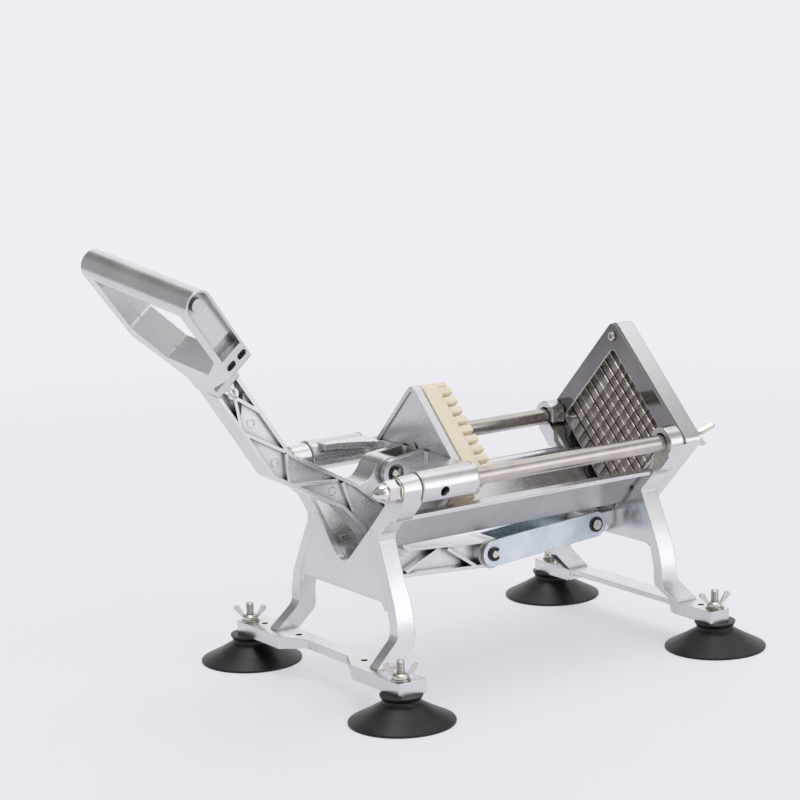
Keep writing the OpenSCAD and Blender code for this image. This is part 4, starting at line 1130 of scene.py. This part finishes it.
def addBlockScrews():
    work = bmesh.new()
    shank, length = blockScrews["shank"], blockScrews["end"] - blockScrews["x"]
    profile = blockScrews["head"] + [(blockScrews["neck"], shank), (length, shank), (length, 0)]
    for side in (-1, 1):
        start = place(blockScrews["x"], 0, rodZ + side * blockScrews["rise"])
        addLathe(work, profile, start, (1, 0, 0), 28)
    addPiece("blockScrews", meshFrom("blockScrews", work), "zinc", "pusher", replaces=["block_screws"])
    print("block screws added")


# Surroundings: soft lobes of light, with bearing and height in degrees, core and rim as half angles
studio = {
    "backdrop": (0.871, 0.847, 0.905),
    "tint": (0.985, 0.98, 1.0),
    "base": 0.42,
    "lobes": [
        {"bearing": 25, "height": 82, "core": 8, "rim": 26, "glow": 5.0},
        {"bearing": 8, "height": 66, "core": 10, "rim": 30, "glow": 1.15},
        {"bearing": 58, "height": 20, "core": 22, "rim": 44, "glow": 0.95},
        {"bearing": 294, "height": 8, "core": 14, "rim": 32, "glow": 1.48},
        {"bearing": 288, "height": 40, "core": 6, "rim": 26, "glow": 1.25},
        {"bearing": 105, "height": 36, "core": 6, "rim": 26, "glow": 0.24},
        {"bearing": 192, "height": -4, "core": 10, "rim": 40, "glow": 0.16},
        {"bearing": 262, "height": 16, "core": 2, "rim": 12, "glow": 0.20},
    ],
}


def addStudio():
    world = bpy.data.worlds.new("studio")
    bpy.context.scene.world = world
    world.use_nodes = True
    tree = world.node_tree
    tree.nodes.clear()
    out = tree.nodes.new("ShaderNodeOutputWorld")
    aim = addNode(tree, "TexCoord").outputs["Generated"]
    glow = studio["base"]
    for lobe in studio["lobes"]:
        towards = addNode(tree, "VectorMath", {"operation": "DOT_PRODUCT"}, Vector=aim)
        towards.inputs[1].default_value = aimOf(lobe["bearing"], lobe["height"])
        rim, core = (math.cos(math.radians(lobe[key])) for key in ("rim", "core"))
        share = rangeAt(tree, towards.outputs["Value"], rim, core, 0.0, 1.0, "SMOOTHSTEP")
        mix = addNode(tree, "Mix", {"data_type": "FLOAT"})
        feed(tree, mix.inputs[0], share)
        feed(tree, mix.inputs[2], glow)
        feed(tree, mix.inputs[3], lobe["glow"])
        glow = mix.outputs[0]
    around = addNode(tree, "Background", Color=(*studio["tint"], 1), Strength=glow)
    seen = addNode(tree, "Background", Color=(*studio["backdrop"], 1), Strength=1.0)
    ray = addNode(tree, "LightPath").outputs["Is Camera Ray"]
    tree.links.new(mixShaders(tree, ray, around, seen).outputs[0], out.inputs["Surface"])
    bpy.context.scene.view_settings.view_transform = "Standard"
    print("studio lit")


# Floor: a disc that fades out from its core to its rim, in metres. Part of its colour is glow, so that
# shadows stay faint
floorLook = {
    "colour": (0.860, 0.840, 0.897), "darkShare": 0.992, "cloud": 0.5, "roughness": 0.7, "specular": 0.2,
    "core": 0.9, "rim": 1.7, "over": 0.05, "glow": 0.48, "glowStrength": 1.10,
}


def floorMaterial():
    mat, tree, shader = startMaterial("paleFloor")
    spot = addNode(tree, "TexCoord").outputs["Object"]
    dark = tuple(part * floorLook["darkShare"] for part in floorLook["colour"])
    colour = tonesAt(tree, noiseAt(tree, spot, floorLook["cloud"], 2.0), dark, floorLook["colour"])
    tree.links.new(colour, shader.inputs["Base Color"])
    shader.inputs["Roughness"].default_value = floorLook["roughness"]
    shader.inputs["Specular IOR Level"].default_value = floorLook["specular"]
    reach = addNode(tree, "VectorMath", {"operation": "LENGTH"}, Vector=spot).outputs["Value"]
    solid = rangeAt(tree, reach, floorLook["core"], floorLook["rim"], 1.0, 0.0, "SMOOTHERSTEP")
    glow = addNode(tree, "Emission", Color=(*studio["backdrop"], 1), Strength=floorLook["glowStrength"])
    ray = addNode(tree, "LightPath")
    seen = mathAt(tree, "MAXIMUM", ray.outputs["Is Camera Ray"], ray.outputs["Is Glossy Ray"])
    lit = mixShaders(tree, mathAt(tree, "MULTIPLY", seen, floorLook["glow"]), shader, glow)
    faded = mixShaders(tree, solid, addNode(tree, "BsdfTransparent"), lit)
    out = next(node for node in tree.nodes if node.type == "OUTPUT_MATERIAL")
    tree.links.new(faded.outputs[0], out.inputs["Surface"])
    return mat


def addFloor():
    work = bmesh.new()
    bmesh.ops.create_circle(work, cap_ends=True, segments=96, radius=floorLook["rim"] + floorLook["over"])
    mesh = bpy.data.meshes.new("floor")
    work.to_mesh(mesh)
    work.free()
    floor = bpy.data.objects.new("floor", mesh)
    floor.data.materials.append(floorMaterial())
    bpy.context.scene.collection.objects.link(floor)
    print("floor laid")


addCamera()
dressNodes()
addFrames()
addTrough()
addPusher()
addWebFill()
addBlades()
addPinBlock()
addStuds()
addArm()
addGrip()
addPivots()
addLugs()
addPlateRim()
addLips()
addBridge()
addBeads()
addBlockScrews()
addFloor()
addStudio()


bpy.context.view_layer.update()
